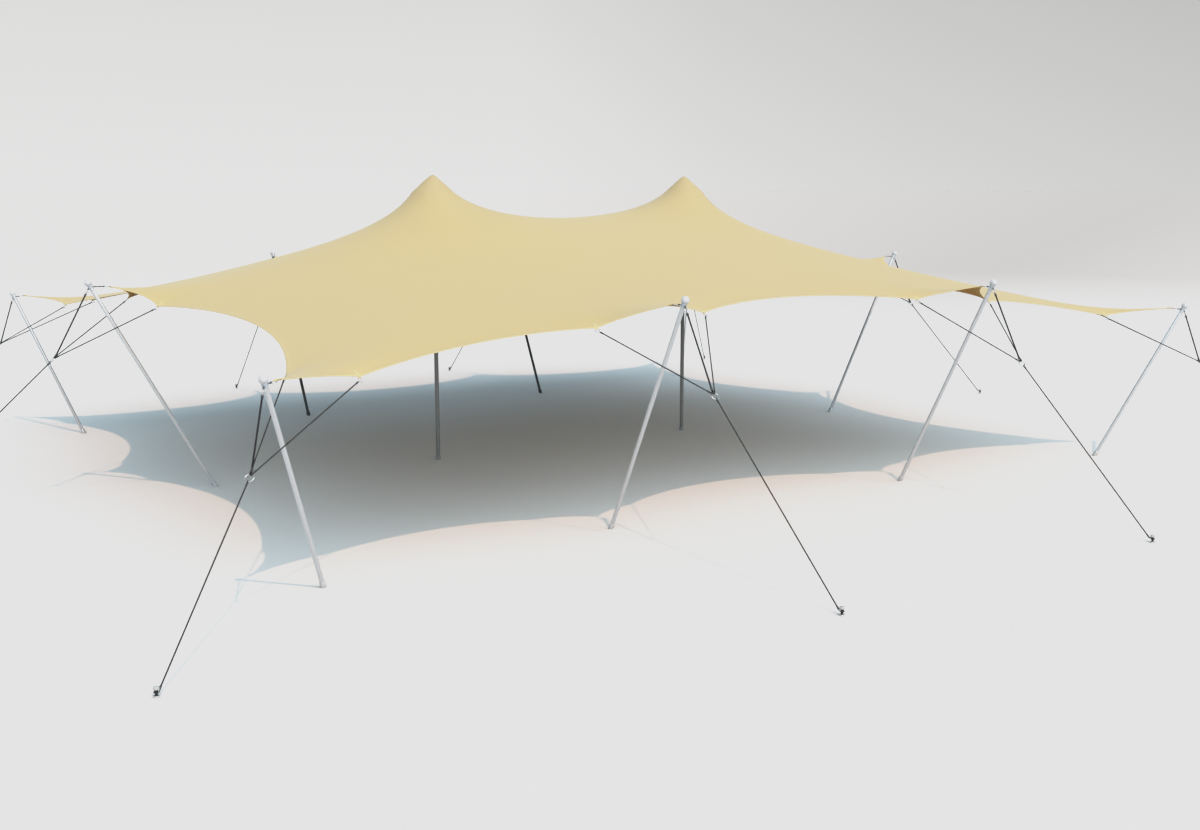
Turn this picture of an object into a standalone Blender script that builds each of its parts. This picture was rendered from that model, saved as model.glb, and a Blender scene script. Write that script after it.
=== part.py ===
# A stretch tent: one stretched fabric sheet over two king poles, held out by ten leaning side poles.
# Each side pole is stayed by a rope bridle and one guy rope to a ground stake.
# Metres, +Z up. The origin is on the ground under the middle of the sheet, and +X runs along its length.
# The tent is the same in its four quarters, so every place below is given for the +X, +Y quarter.

import math

import bmesh
import bpy
import numpy as np
from mathutils import Matrix, Vector

# Clearance that two meshes keep where one rests on the other
seat_gap = 0.0003

# Edges under this length are merged where meshes are joined
smallest_edge = 0.0001

# King poles
king_x = 2.17
king_peak = 4.00
king_radius = 0.030
king_foot_radius = 0.035
king_foot_height = 0.045
king_cap_radius = 0.060
king_cap_height = 0.160

# Side poles: a tube with a shoe that is cut level with the ground
tube_radius = 0.024
shoe_radius = 0.031
shoe_length = 0.060
shoe_taper = 0.014

# Pole heads: a ball on a collar, with one ring for the fabric and one for the ropes
ball_radius = 0.052
collar_radius = 0.033
collar_length = 0.050
collar_drop = 0.062
pin_radius = 0.0065
tip_ring_radius = 0.034
ring_radius = 0.024
ring_wire = 0.0045
rope_ring_reach = 0.062

# Ropes, with a thicker sleeve at each end
head_rope_radius = 0.0100
side_rope_radius = 0.0055
guy_rope_radius = 0.0065
sleeve_ratio = 1.5
sleeve_length = 0.075
bridle_ring_radius = 0.044
bridle_ring_wire = 0.0060

# Ground stakes, the part above the ground
stake_flange_radius = 0.029
stake_flange_height = 0.018
stake_foot_radius = 0.011
stake_neck_radius = 0.015
stake_neck_height = 0.062
stake_cap_radius = 0.0255
stake_height = 0.088
stake_link_radius = 0.031
stake_link_height = 0.042

# Sides of the round pieces
tube_sides = 12
ball_sides = 10
rope_sides = 6
ring_sides = 8
wire_sides = 4

# How far past the middle of a ring's wire the pin or rope that holds it ends, as a share of the wire
bite = 0.4

# Where the pieces of each kind of side pole stand
stations = {
    "corner": {
        "foot": (5.91, 4.99, 0.0),
        "head": (6.69, 5.75, 2.20),
        "knot": (6.91, 5.93, 1.38),
        "stake": (8.06, 6.99, 0.0),
        "tip": (6.55, 5.66, 2.165),
        "eyes": [(5.59, 5.27, 2.076), (6.12, 4.745, 2.066)],
    },
    "long": {
        "foot": (2.31, 4.64, 0.0),
        "head": (2.33, 6.03, 2.708),
        "knot": (2.32, 6.52, 1.776),
        "stake": (2.31, 8.41, 0.0),
        "tip": (2.34, 5.86, 2.654),
        "eyes": [(3.00, 5.40, 2.401), (1.64, 5.455, 2.495)],
    },
    "short": {
        "foot": (5.38, 0.0, 0.0),
        "head": (6.82, 0.0, 2.705),
        "knot": (7.28, 0.0, 1.795),
        "stake": (9.22, 0.0, 0.0),
        "tip": (6.566, 0.0, 2.644),
        "eyes": [(6.19, 0.69, 2.439), (6.19, -0.69, 2.439)],
    },
}

# Every side pole of the tent: its name, its kind, and the quarter that it stands in
side_poles = [
    ("front_left_corner", "corner", (-1, -1)),
    ("front_left", "long", (-1, -1)),
    ("front_right", "long", (1, -1)),
    ("front_right_corner", "corner", (1, -1)),
    ("right_end", "short", (1, 1)),
    ("back_right_corner", "corner", (1, 1)),
    ("back_right", "long", (1, 1)),
    ("back_left", "long", (-1, 1)),
    ("back_left_corner", "corner", (-1, 1)),
    ("left_end", "short", (-1, 1)),
]

# The sheet, measured flat from its middle: where the king pole, the tips and the eyes come on it
sheet_thickness = 0.010
flat_half_length = 6.50
flat_half_width = 5.60
flat_king = 2.25
flat_inner_eye = 1.62
flat_outer_eye = 3.00
flat_corner_long_eye = 5.59
flat_end_eye = 0.69
flat_corner_short_eye = 4.75

# The peak over a king pole is a rounded cone
cone_radius = 0.30
cone_slope = 0.935
cone_rounding = 0.05

# How hard the hem pulls beside a pull of 1 in the cloth, how much harder the cloth pulls
# lengthwise than across, and the rise that the stretched cloth keeps between its supports
hem_pull = {"middle": 2.02, "long": 2.13, "end": 4.96, "tip": 1.09}
lengthwise_pull = 1.59
cloth_rise = 0.0256


def finish_of(name, colour, roughness, metallic):
    # A plain finish: colour in linear RGB
    material = bpy.data.materials.get(name) or bpy.data.materials.new(name)
    material.use_nodes = True
    shader = material.node_tree.nodes["Principled BSDF"]
    shader.inputs["Base Color"].default_value = (*colour, 1.0)
    shader.inputs["Roughness"].default_value = roughness
    shader.inputs["Metallic"].default_value = metallic
    material.diffuse_color = (*colour, 1.0)
    return material


def cloth_finish():
    return finish_of("sand_stretch_cloth", (0.72, 0.62, 0.35), 0.85, 0.0)


def tube_finish():
    return finish_of("satin_grey_tube", (0.55, 0.56, 0.58), 0.45, 0.7)


def head_finish():
    return finish_of("pale_head_metal", (0.80, 0.80, 0.80), 0.40, 0.5)


def rope_finish():
    return finish_of("dark_rope", (0.055, 0.055, 0.055), 0.80, 0.0)


def stake_finish():
    return finish_of("stake_steel", (0.30, 0.30, 0.30), 0.45, 0.8)


def cap_finish():
    return finish_of("king_cap_plastic", (0.75, 0.74, 0.70), 0.55, 0.0)


def axis_frame(along, toward):
    # A turn that takes +Z to `along` and +X as near to `toward` as it can go
    z = Vector(along).normalized()
    x = Vector(toward) - z * Vector(toward).dot(z)
    x.normalize()
    y = z.cross(x)
    return Matrix((x, y, z)).transposed().to_4x4()


def turned(profile, start, end, sides, toward=None):
    # A solid turned about the line from start to end: the profile is (distance along, radius)
    start = Vector(start)
    along = Vector(end) - start
    side = Vector(toward) if toward else along.orthogonal()
    shape = bmesh.new()
    points = [shape.verts.new((radius, 0.0, height)) for height, radius in profile]
    edges = [shape.edges.new(pair) for pair in zip(points, points[1:])]
    bmesh.ops.spin(
        shape, geom=points + edges, cent=(0, 0, 0), axis=(0, 0, 1), angle=math.tau, steps=sides
    )
    bmesh.ops.remove_doubles(shape, verts=shape.verts, dist=1e-6)
    bmesh.ops.recalc_face_normals(shape, faces=shape.faces)
    shape.transform(Matrix.Translation(start) @ axis_frame(along, side))
    return shape


def capsule_profile(length, radius, ends):
    # A straight bar with a short thicker sleeve of the given radius at both ends
    return [
        (0.0, 0.0),
        (0.0, ends),
        (sleeve_length, ends),
        (sleeve_length + ends, radius),
        (length - sleeve_length - ends, radius),
        (length - sleeve_length, ends),
        (length, ends),
        (length, 0.0),
    ]


def ring(centre, pull, side, radius, wire):
    # A round ring in the plane of `pull` and `side`. A facet of it faces either way along `pull`, and
    # an edge of its wire runs along the facet's inside and its outside.
    centre, pull, side = Vector(centre), Vector(pull).normalized(), Vector(side)
    shape = bmesh.new()
    circle = bmesh.ops.create_circle(shape, segments=wire_sides, radius=wire)["verts"]
    bmesh.ops.rotate(shape, verts=circle, cent=(0, 0, 0), matrix=Matrix.Rotation(math.pi / 2, 3, "X"))
    bmesh.ops.rotate(shape, verts=circle, cent=(0, 0, 0), matrix=Matrix.Rotation(math.pi / 2, 3, "Y"))
    bmesh.ops.translate(shape, verts=circle, vec=(radius, 0, 0))
    bmesh.ops.rotate(
        shape, verts=circle, cent=(0, 0, 0), matrix=Matrix.Rotation(math.pi / ring_sides, 3, "Z")
    )
    edges = list({edge for vert in circle for edge in vert.link_edges})
    bmesh.ops.spin(
        shape, geom=circle + edges, cent=(0, 0, 0), axis=(0, 0, 1), angle=math.tau, steps=ring_sides
    )
    bmesh.ops.remove_doubles(shape, verts=shape.verts, dist=1e-6)
    bmesh.ops.recalc_face_normals(shape, faces=shape.faces)
    shape.transform(Matrix.Translation(centre) @ axis_frame(pull.cross(side), pull))
    return shape


def at_facet(size):
    # A radius of a ring, or of its wire, as it is at the middle of a facet
    return size * math.cos(math.pi / ring_sides)


def mesh_of(shape, name):
    mesh = bpy.data.meshes.new(name)
    shape.to_mesh(mesh)
    shape.free()
    return mesh


def fused(shapes, name):
    # One closed mesh of triangles from several that overlap, without the tiny edges that a cut leaves
    pieces = [bpy.data.objects.new(name, mesh_of(shape, name)) for shape in shapes]
    for piece in pieces:
        bpy.context.scene.collection.objects.link(piece)
    for other in pieces[1:]:
        union = pieces[0].modifiers.new("union", "BOOLEAN")
        union.operation = "UNION"
        union.object = other
    bpy.context.view_layer.update()
    mesh = bpy.data.meshes.new_from_object(pieces[0].evaluated_get(bpy.context.evaluated_depsgraph_get()))
    for piece in pieces:
        bpy.data.objects.remove(piece)
    shape = bmesh.new()
    shape.from_mesh(mesh)
    bmesh.ops.remove_doubles(shape, verts=shape.verts, dist=smallest_edge)
    bmesh.ops.dissolve_degenerate(shape, edges=shape.edges, dist=smallest_edge)
    bmesh.ops.triangulate(shape, faces=shape.faces)
    bmesh.ops.dissolve_degenerate(shape, edges=shape.edges, dist=smallest_edge)
    return mesh_of(shape, name)


def add_node(name, mesh, anchor, quarter, material, parent, smooth=True):
    # A node from a mesh of the +X, +Y quarter, mirrored into its own quarter, with its origin at the anchor
    mesh = mesh.copy()
    mesh.name = name
    mesh.transform(Matrix.Translation(-Vector(anchor)))
    turn = Matrix.Diagonal((quarter[0], quarter[1], 1.0, 1.0))
    mesh.transform(turn)
    if quarter[0] * quarter[1] < 0:
        mesh.flip_normals()
    mesh.materials.clear()
    mesh.materials.append(material)
    if smooth:
        mesh.shade_smooth()
        mesh.set_sharp_from_angle(angle=math.radians(40))
    node = bpy.data.objects.new(name, mesh)
    node.location = turn @ Vector(anchor)
    node.parent = parent
    bpy.context.scene.collection.objects.link(node)
    return node


def spaced(stops, counts):
    # Lines across the sheet: each stretch between two stops is split into equal steps
    lines = [stops[0]]
    for low, high, count in zip(stops, stops[1:], counts):
        lines += [low + (high - low) * step / count for step in range(1, count + 1)]
    return np.array(lines)


def hem_pull_at(place, stops, pulls):
    # The hem's pull in the stretch that holds this place
    for stop, pull in zip(stops, pulls):
        if place < stop:
            return hem_pull[pull]
    return hem_pull[pulls[-1]]


def peak_height(distance):
    return king_peak + cone_rounding - math.hypot(cone_slope * distance, cone_rounding)


def settled_quarter(across, along):
    # The stretched sheet at rest over one quarter: every crossing of its lines lies where the
    # pulls of the threads that meet there cancel out. The tips, eyes and peaks hold still.
    count_x, count_y = len(across), len(along)
    at = np.arange(count_x * count_y).reshape(count_x, count_y)

    def near(lines, place):
        return int(np.argmin(abs(lines - place)))

    corner, long_side, short = stations["corner"], stations["long"], stations["short"]
    held = {
        at[near(across, flat_inner_eye), -1]: long_side["eyes"][1],
        at[near(across, flat_king), -1]: long_side["tip"],
        at[near(across, flat_outer_eye), -1]: long_side["eyes"][0],
        at[near(across, flat_corner_long_eye), -1]: corner["eyes"][0],
        at[-1, -1]: corner["tip"],
        at[-1, near(along, flat_corner_short_eye)]: corner["eyes"][1],
        at[-1, near(along, flat_end_eye)]: short["eyes"][0],
        at[-1, 0]: short["tip"],
    }
    for i, x in enumerate(across):
        for j, y in enumerate(along):
            distance = math.hypot(x - flat_king, y)
            if distance < cone_radius * 1.001:
                held[at[i, j]] = (king_x + x - flat_king, y, peak_height(distance))

    # The width of cloth that each line carries
    width_x = np.zeros(count_x)
    width_x[:-1] += np.diff(across) / 2
    width_x[1:] += np.diff(across) / 2
    width_y = np.zeros(count_y)
    width_y[:-1] += np.diff(along) / 2
    width_y[1:] += np.diff(along) / 2

    side_stops = (flat_inner_eye, flat_outer_eye, flat_corner_long_eye)
    end_stops = (flat_end_eye, flat_corner_short_eye)
    pull = np.zeros((at.size, at.size))

    def thread(a, b, strength):
        pull[a, a] += strength
        pull[b, b] += strength
        pull[a, b] -= strength
        pull[b, a] -= strength

    for i in range(count_x - 1):
        step = across[i + 1] - across[i]
        for j in range(count_y):
            thread(at[i, j], at[i + 1, j], lengthwise_pull * width_y[j] / step)
        hem = hem_pull_at(across[i] + step / 2, side_stops, ("middle", "tip", "long", "tip"))
        thread(at[i, -1], at[i + 1, -1], hem / step)
    for j in range(count_y - 1):
        step = along[j + 1] - along[j]
        for i in range(count_x):
            thread(at[i, j], at[i, j + 1], width_x[i] / step)
        hem = hem_pull_at(along[j] + step / 2, end_stops, ("tip", "end", "tip"))
        thread(at[-1, j], at[-1, j + 1], hem / step)

    # On the two middle lines the sheet can't leave the tent's planes of symmetry
    spots = np.zeros((at.size, 3))
    still = np.zeros((at.size, 3), bool)
    still[at[0, :], 0] = True
    still[at[:, 0], 1] = True
    for index, spot in held.items():
        spots[index] = spot
        still[index] = True
    load = np.zeros((at.size, 3))
    load[:, 2] = cloth_rise * np.outer(width_x, width_y).ravel()
    for axis in range(3):
        free = ~still[:, axis]
        fixed_pull = pull[np.ix_(free, ~free)] @ spots[~free, axis]
        spots[free, axis] = np.linalg.solve(pull[np.ix_(free, free)], load[free, axis] - fixed_pull)
    return spots.reshape(count_x, count_y, 3)


def canopy_sheet():
    # The middle surface of the whole sheet, as one grid of quads
    across = spaced(
        (
            0.0,
            flat_inner_eye,
            flat_king - cone_radius,
            flat_king,
            flat_king + cone_radius,
            flat_outer_eye,
            flat_corner_long_eye,
            flat_half_length,
        ),
        (3, 1, 2, 2, 1, 4, 2),
    )
    along = spaced(
        (0.0, cone_radius, flat_end_eye, 2.0, flat_corner_short_eye, flat_half_width),
        (2, 1, 2, 4, 2),
    )
    quarter = settled_quarter(across, along)
    half = np.concatenate([quarter[:0:-1] * (-1, 1, 1), quarter])
    grid = np.concatenate([half[:, :0:-1] * (1, -1, 1), half], axis=1)
    shape = bmesh.new()
    points = [[shape.verts.new(spot) for spot in row] for row in grid]
    for row, following in zip(points, points[1:]):
        for a, b, c, d in zip(row, following, following[1:], row[1:]):
            shape.faces.new((a, b, c, d))
    bmesh.ops.recalc_face_normals(shape, faces=shape.faces)
    if sum(face.normal.z for face in shape.faces) < 0:
        bmesh.ops.reverse_faces(shape, faces=shape.faces)
    shape.normal_update()
    return shape


def hem_directions(shape):
    # At each tip and eye: the sheet's own direction, and the way that its hem runs past
    def hem_at(spot):
        point = min(shape.verts, key=lambda vert: (vert.co - Vector(spot)).length)
        hems = [edge.other_vert(point).co - point.co for edge in point.link_edges if edge.is_boundary]
        return point.normal.copy(), (hems[1].normalized() - hems[0].normalized()).normalized()

    return {
        kind: {"tip": hem_at(place["tip"]), "eyes": [hem_at(eye) for eye in place["eyes"]]}
        for kind, place in stations.items()
    }


def add_canopy(shape, parent):
    node = add_node("canopy", mesh_of(shape, "canopy"), (0, 0, 0), (1, 1), cloth_finish(), parent)
    wall = node.modifiers.new("thickness", "SOLIDIFY")
    wall.thickness = sheet_thickness
    wall.offset = 0.0


def add_king(name, side, parent):
    top = king_peak - sheet_thickness / 2 - seat_gap
    cap_foot = top - king_cap_height
    cap = turned(
        [
            (0.0, 0.0),
            (0.0, king_radius * 1.3),
            (0.045, king_radius * 1.3),
            (0.055, king_cap_radius),
            (king_cap_height - 0.085, king_cap_radius),
            (king_cap_height - 0.058, king_cap_radius * 0.70),
            (king_cap_height - 0.024, king_cap_radius * 0.27),
            (king_cap_height, 0.0),
        ],
        (king_x, 0, cap_foot),
        (king_x, 0, top),
        tube_sides,
    )
    anchor = (king_x, 0, 0)
    quarter = (side, 1)
    add_node(f"king_cap_{name}", mesh_of(cap, "king_cap"), (king_x, 0, cap_foot), quarter, cap_finish(), parent)
    pole_top = cap_foot - seat_gap
    pole = turned(
        [
            (0.0, 0.0),
            (0.0, king_foot_radius),
            (king_foot_height, king_foot_radius),
            (king_foot_height + 0.005, king_radius),
            (pole_top, king_radius),
            (pole_top, 0.0),
        ],
        anchor,
        (king_x, 0, pole_top),
        tube_sides,
    )
    add_node(f"king_pole_{name}", mesh_of(pole, "king_pole"), anchor, quarter, tube_finish(), parent)


def side_pole_mesh(place):
    # The tube is turned about its own slope, and its shoe is then cut off level with the ground
    foot, head = Vector(place["foot"]), Vector(place["head"])
    slope = (head - foot).normalized()
    spare = 0.05
    start = foot - slope * spare
    top = (head - start).length - collar_drop - collar_length / 2 - seat_gap
    shape = turned(
        [
            (0.0, 0.0),
            (0.0, shoe_radius),
            (spare + shoe_length, shoe_radius),
            (spare + shoe_length + shoe_taper, tube_radius),
            (top, tube_radius),
            (top, 0.0),
        ],
        start,
        head,
        tube_sides,
        (0, 0, 1),
    )
    geometry = shape.verts[:] + shape.edges[:] + shape.faces[:]
    bmesh.ops.bisect_plane(shape, geom=geometry, plane_co=(0, 0, 0), plane_no=(0, 0, 1), clear_inner=True)
    bmesh.ops.holes_fill(shape, edges=[edge for edge in shape.edges if edge.is_boundary])
    bmesh.ops.recalc_face_normals(shape, faces=shape.faces)
    return mesh_of(shape, "side_pole")


def collar_centre(place):
    foot, head = Vector(place["foot"]), Vector(place["head"])
    return head - (head - foot).normalized() * collar_drop


def rope_hanger(place):
    # Where the lower ring's lug starts in the collar, on the side of the knot, and the way to the knot
    foot, head = Vector(place["foot"]), Vector(place["head"])
    slope = (head - foot).normalized()
    collar = collar_centre(place)
    aside = Vector(place["knot"]) - collar
    aside -= slope * aside.dot(slope)
    start = collar + aside.normalized() * collar_radius / 2
    return start, (Vector(place["knot"]) - start).normalized()


def hung_ring(spot, hem, target, radius):
    # A ring drawn from this spot of the hem toward the target: its wire lies along the hem, a seat gap
    # clear of it. It comes with the point of the ring that is nearest to the target.
    spot, (normal, along) = Vector(spot), hem
    outward = target - spot
    outward -= along * outward.dot(along)
    outward.normalize()
    edge = spot + normal * math.copysign(sheet_thickness / 2, outward.dot(normal))
    centre = edge + outward * (at_facet(radius + ring_wire) + seat_gap)
    toward = target - centre
    toward = outward * toward.dot(outward) + along * toward.dot(along)
    joint = centre + toward.normalized() * (at_facet(radius) - bite * ring_wire)
    return ring(centre, outward, along, radius, ring_wire), joint


def pole_head_mesh(place, hem):
    foot, head = Vector(place["foot"]), Vector(place["head"])
    slope = (head - foot).normalized()
    collar = collar_centre(place)
    bottom = collar - slope * collar_length / 2
    ball_centre = (head - bottom).length
    ball_steps = 5
    seat = math.asin(collar_radius / ball_radius)
    angles = [seat + (math.pi - seat) * step / ball_steps for step in range(ball_steps + 1)]
    profile = [(0.0, 0.0), (0.0, collar_radius)]
    profile += [
        (ball_centre - ball_radius * math.cos(angle), max(0.0, ball_radius * math.sin(angle)))
        for angle in angles[:-1]
    ]
    profile.append((ball_centre + ball_radius, 0.0))
    body = turned(profile, bottom, head, ball_sides)

    # The fabric's ring, and the pin that holds it
    fabric_ring, pin_start = hung_ring(place["tip"], hem, collar, tip_ring_radius)
    pin_length = (collar - pin_start).length
    bar = [(0.0, 0.0), (0.0, pin_radius), (pin_length, pin_radius), (pin_length, 0.0)]
    pin = turned(bar, pin_start, collar, rope_sides)

    # The ring for the ropes, and its pin
    lug_start, down = rope_hanger(place)
    level = slope.cross(Vector((0, 0, 1))).normalized()
    lug_length = rope_ring_reach - at_facet(ring_radius) + bite * ring_wire
    bar = [(0.0, 0.0), (0.0, pin_radius), (lug_length, pin_radius), (lug_length, 0.0)]
    lug = turned(bar, lug_start, lug_start + down, rope_sides)
    lower_ring = ring(lug_start + down * rope_ring_reach, down, level, ring_radius, ring_wire)
    return fused([body, pin, lug, fabric_ring, lower_ring], "pole_head")


def rope(start, end, radius):
    start, end = Vector(start), Vector(end)
    length = (end - start).length
    return turned(capsule_profile(length, radius, radius * sleeve_ratio), start, end, rope_sides)


def guy_set_mesh(place, hems):
    # The bridle ring with its three upper ropes and the guy rope to the stake
    knot, stake = Vector(place["knot"]), Vector(place["stake"])
    lug_start, down = rope_hanger(place)
    outward = Vector((stake.x - knot.x, stake.y - knot.y, 0)).normalized()
    level = outward.cross(Vector((0, 0, 1)))

    # The lower ring of the guy rope lies round the stake's neck and bears on its far side
    low_centre = stake + Vector((0, 0, stake_link_height))
    low_centre -= outward * (at_facet(stake_link_radius - ring_wire) - stake_neck_radius - seat_gap)
    low_end = low_centre - outward * (at_facet(stake_link_radius) - bite * ring_wire)
    guy_direction = (low_end - knot).normalized()
    bridle_normal = guy_direction.cross(level).normalized()

    def on_bridle_ring(target):
        flat = target - knot
        flat -= bridle_normal * flat.dot(bridle_normal)
        return knot + flat.normalized() * (bridle_ring_radius - bite * bridle_ring_wire)

    # The link through the pole head's ring
    link = lug_start + down * (rope_ring_reach + 2 * at_facet(ring_radius - ring_wire) - seat_gap)
    link_end = link + down * (at_facet(ring_radius) - bite * ring_wire)
    link_side = down.cross(level).normalized()
    shapes = [
        ring(knot, guy_direction, level, bridle_ring_radius, bridle_ring_wire),
        rope(on_bridle_ring(link_end), link_end, head_rope_radius),
        ring(link, down, link_side, ring_radius, ring_wire),
        rope(on_bridle_ring(low_end), low_end, guy_rope_radius),
        ring(low_centre, outward, level, stake_link_radius, ring_wire),
    ]
    for eye, hem in zip(place["eyes"], hems):
        eye_ring, rope_end = hung_ring(eye, hem, knot, ring_radius)
        shapes += [eye_ring, rope(on_bridle_ring(rope_end), rope_end, side_rope_radius)]
    return fused(shapes, "guy_set")


def stake_mesh(place):
    stake = Vector(place["stake"])
    knot = Vector(place["knot"])
    toward = Vector((stake.x - knot.x, stake.y - knot.y, 0))
    neck = stake_link_height + 0.008
    return mesh_of(
        turned(
            [
                (0.0, 0.0),
                (0.0, stake_flange_radius),
                (stake_flange_height * 0.6, stake_flange_radius),
                (stake_flange_height, stake_flange_radius * 0.75),
                (stake_flange_height, stake_foot_radius),
                (stake_link_height - 0.008, stake_neck_radius),
                (neck, stake_neck_radius),
                (stake_neck_height, stake_neck_radius * 1.05),
                (stake_neck_height, stake_cap_radius),
                (stake_height - 0.007, stake_cap_radius),
                (stake_height, stake_cap_radius * 0.8),
                (stake_height, 0.0),
            ],
            stake,
            stake + Vector((0, 0, stake_height)),
            ring_sides,
            toward,
        ),
        "ground_stake",
    )


def add_side_poles(hems, parent):
    makers = {}
    for kind, place in stations.items():
        makers[kind] = {
            "side_pole": (side_pole_mesh(place), place["foot"], tube_finish()),
            "pole_head": (pole_head_mesh(place, hems[kind]["tip"]), place["head"], head_finish()),
            "guy_set": (guy_set_mesh(place, hems[kind]["eyes"]), place["knot"], rope_finish()),
            "ground_stake": (stake_mesh(place), place["stake"], stake_finish()),
        }
    for name, kind, quarter in side_poles:
        for piece, (mesh, anchor, material) in makers[kind].items():
            add_node(f"{piece}_{name}", mesh, anchor, quarter, material, parent)


def build():
    for old in list(bpy.data.objects):
        bpy.data.objects.remove(old)
    tent = bpy.data.objects.new("stretch_tent", None)
    bpy.context.scene.collection.objects.link(tent)
    sheet = canopy_sheet()
    hems = hem_directions(sheet)
    add_canopy(sheet, tent)
    add_king("left", -1, tent)
    add_king("right", 1, tent)
    add_side_poles(hems, tent)


build()
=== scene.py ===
import math

import bmesh
import bpy
import numpy as np
from mathutils import Matrix, Vector
from mathutils.bvhtree import BVHTree


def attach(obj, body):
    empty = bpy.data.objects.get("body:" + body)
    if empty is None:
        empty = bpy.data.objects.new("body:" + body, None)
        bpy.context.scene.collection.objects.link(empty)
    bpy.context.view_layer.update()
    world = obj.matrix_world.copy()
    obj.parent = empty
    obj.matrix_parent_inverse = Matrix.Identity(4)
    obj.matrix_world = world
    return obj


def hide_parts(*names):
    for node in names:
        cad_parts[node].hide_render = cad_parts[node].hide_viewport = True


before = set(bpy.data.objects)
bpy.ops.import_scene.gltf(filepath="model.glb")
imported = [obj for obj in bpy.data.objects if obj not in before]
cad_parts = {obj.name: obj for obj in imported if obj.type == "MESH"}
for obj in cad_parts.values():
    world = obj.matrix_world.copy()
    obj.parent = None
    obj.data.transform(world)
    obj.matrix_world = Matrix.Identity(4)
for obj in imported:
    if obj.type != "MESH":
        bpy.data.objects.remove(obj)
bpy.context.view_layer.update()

scene = bpy.context.scene
print("frame:", len(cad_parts), "nodes")


def linked(name, data):
    piece = bpy.data.objects.new(name, data)
    scene.collection.objects.link(piece)
    return piece


# Camera, at the photo's place and angle

cameraPlan = {
    "place": (-10.584, -16.961, 3.828),
    "turn": (80.394, 0.0, -33.407),  # degrees
    "lens": 40.164,
    "sensor": 36.0,
    "seesTo": 6000.0,
}

camera = linked("camera", bpy.data.cameras.new("camera"))
camera.data.lens = cameraPlan["lens"]
camera.data.sensor_width = cameraPlan["sensor"]
camera.data.clip_end = cameraPlan["seesTo"]
camera.location = cameraPlan["place"]
camera.rotation_euler = [math.radians(angle) for angle in cameraPlan["turn"]]
scene.camera = camera
print("camera: set")


# Film: even up to the bright tones, which then ease into the pale grey of the photo's background

filmPlan = [(0.0, 0.0), (0.30, 0.30), (0.68, 0.68), (0.79, 0.758), (0.88, 0.776), (1.0, 0.776)]

scene.view_settings.view_transform = "Standard"
scene.view_settings.use_curve_mapping = True
film = scene.view_settings.curve_mapping
film.extend = "HORIZONTAL"
curve = film.curves[3]
curve.points[0].location, curve.points[1].location = filmPlan[0], filmPlan[-1]
for spot in filmPlan[1:-1]:
    curve.points.new(*spot)
for point in curve.points:
    point.handle_type = "AUTO_CLAMPED"
film.update()
print("film: set")


# Shader nodes

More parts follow.
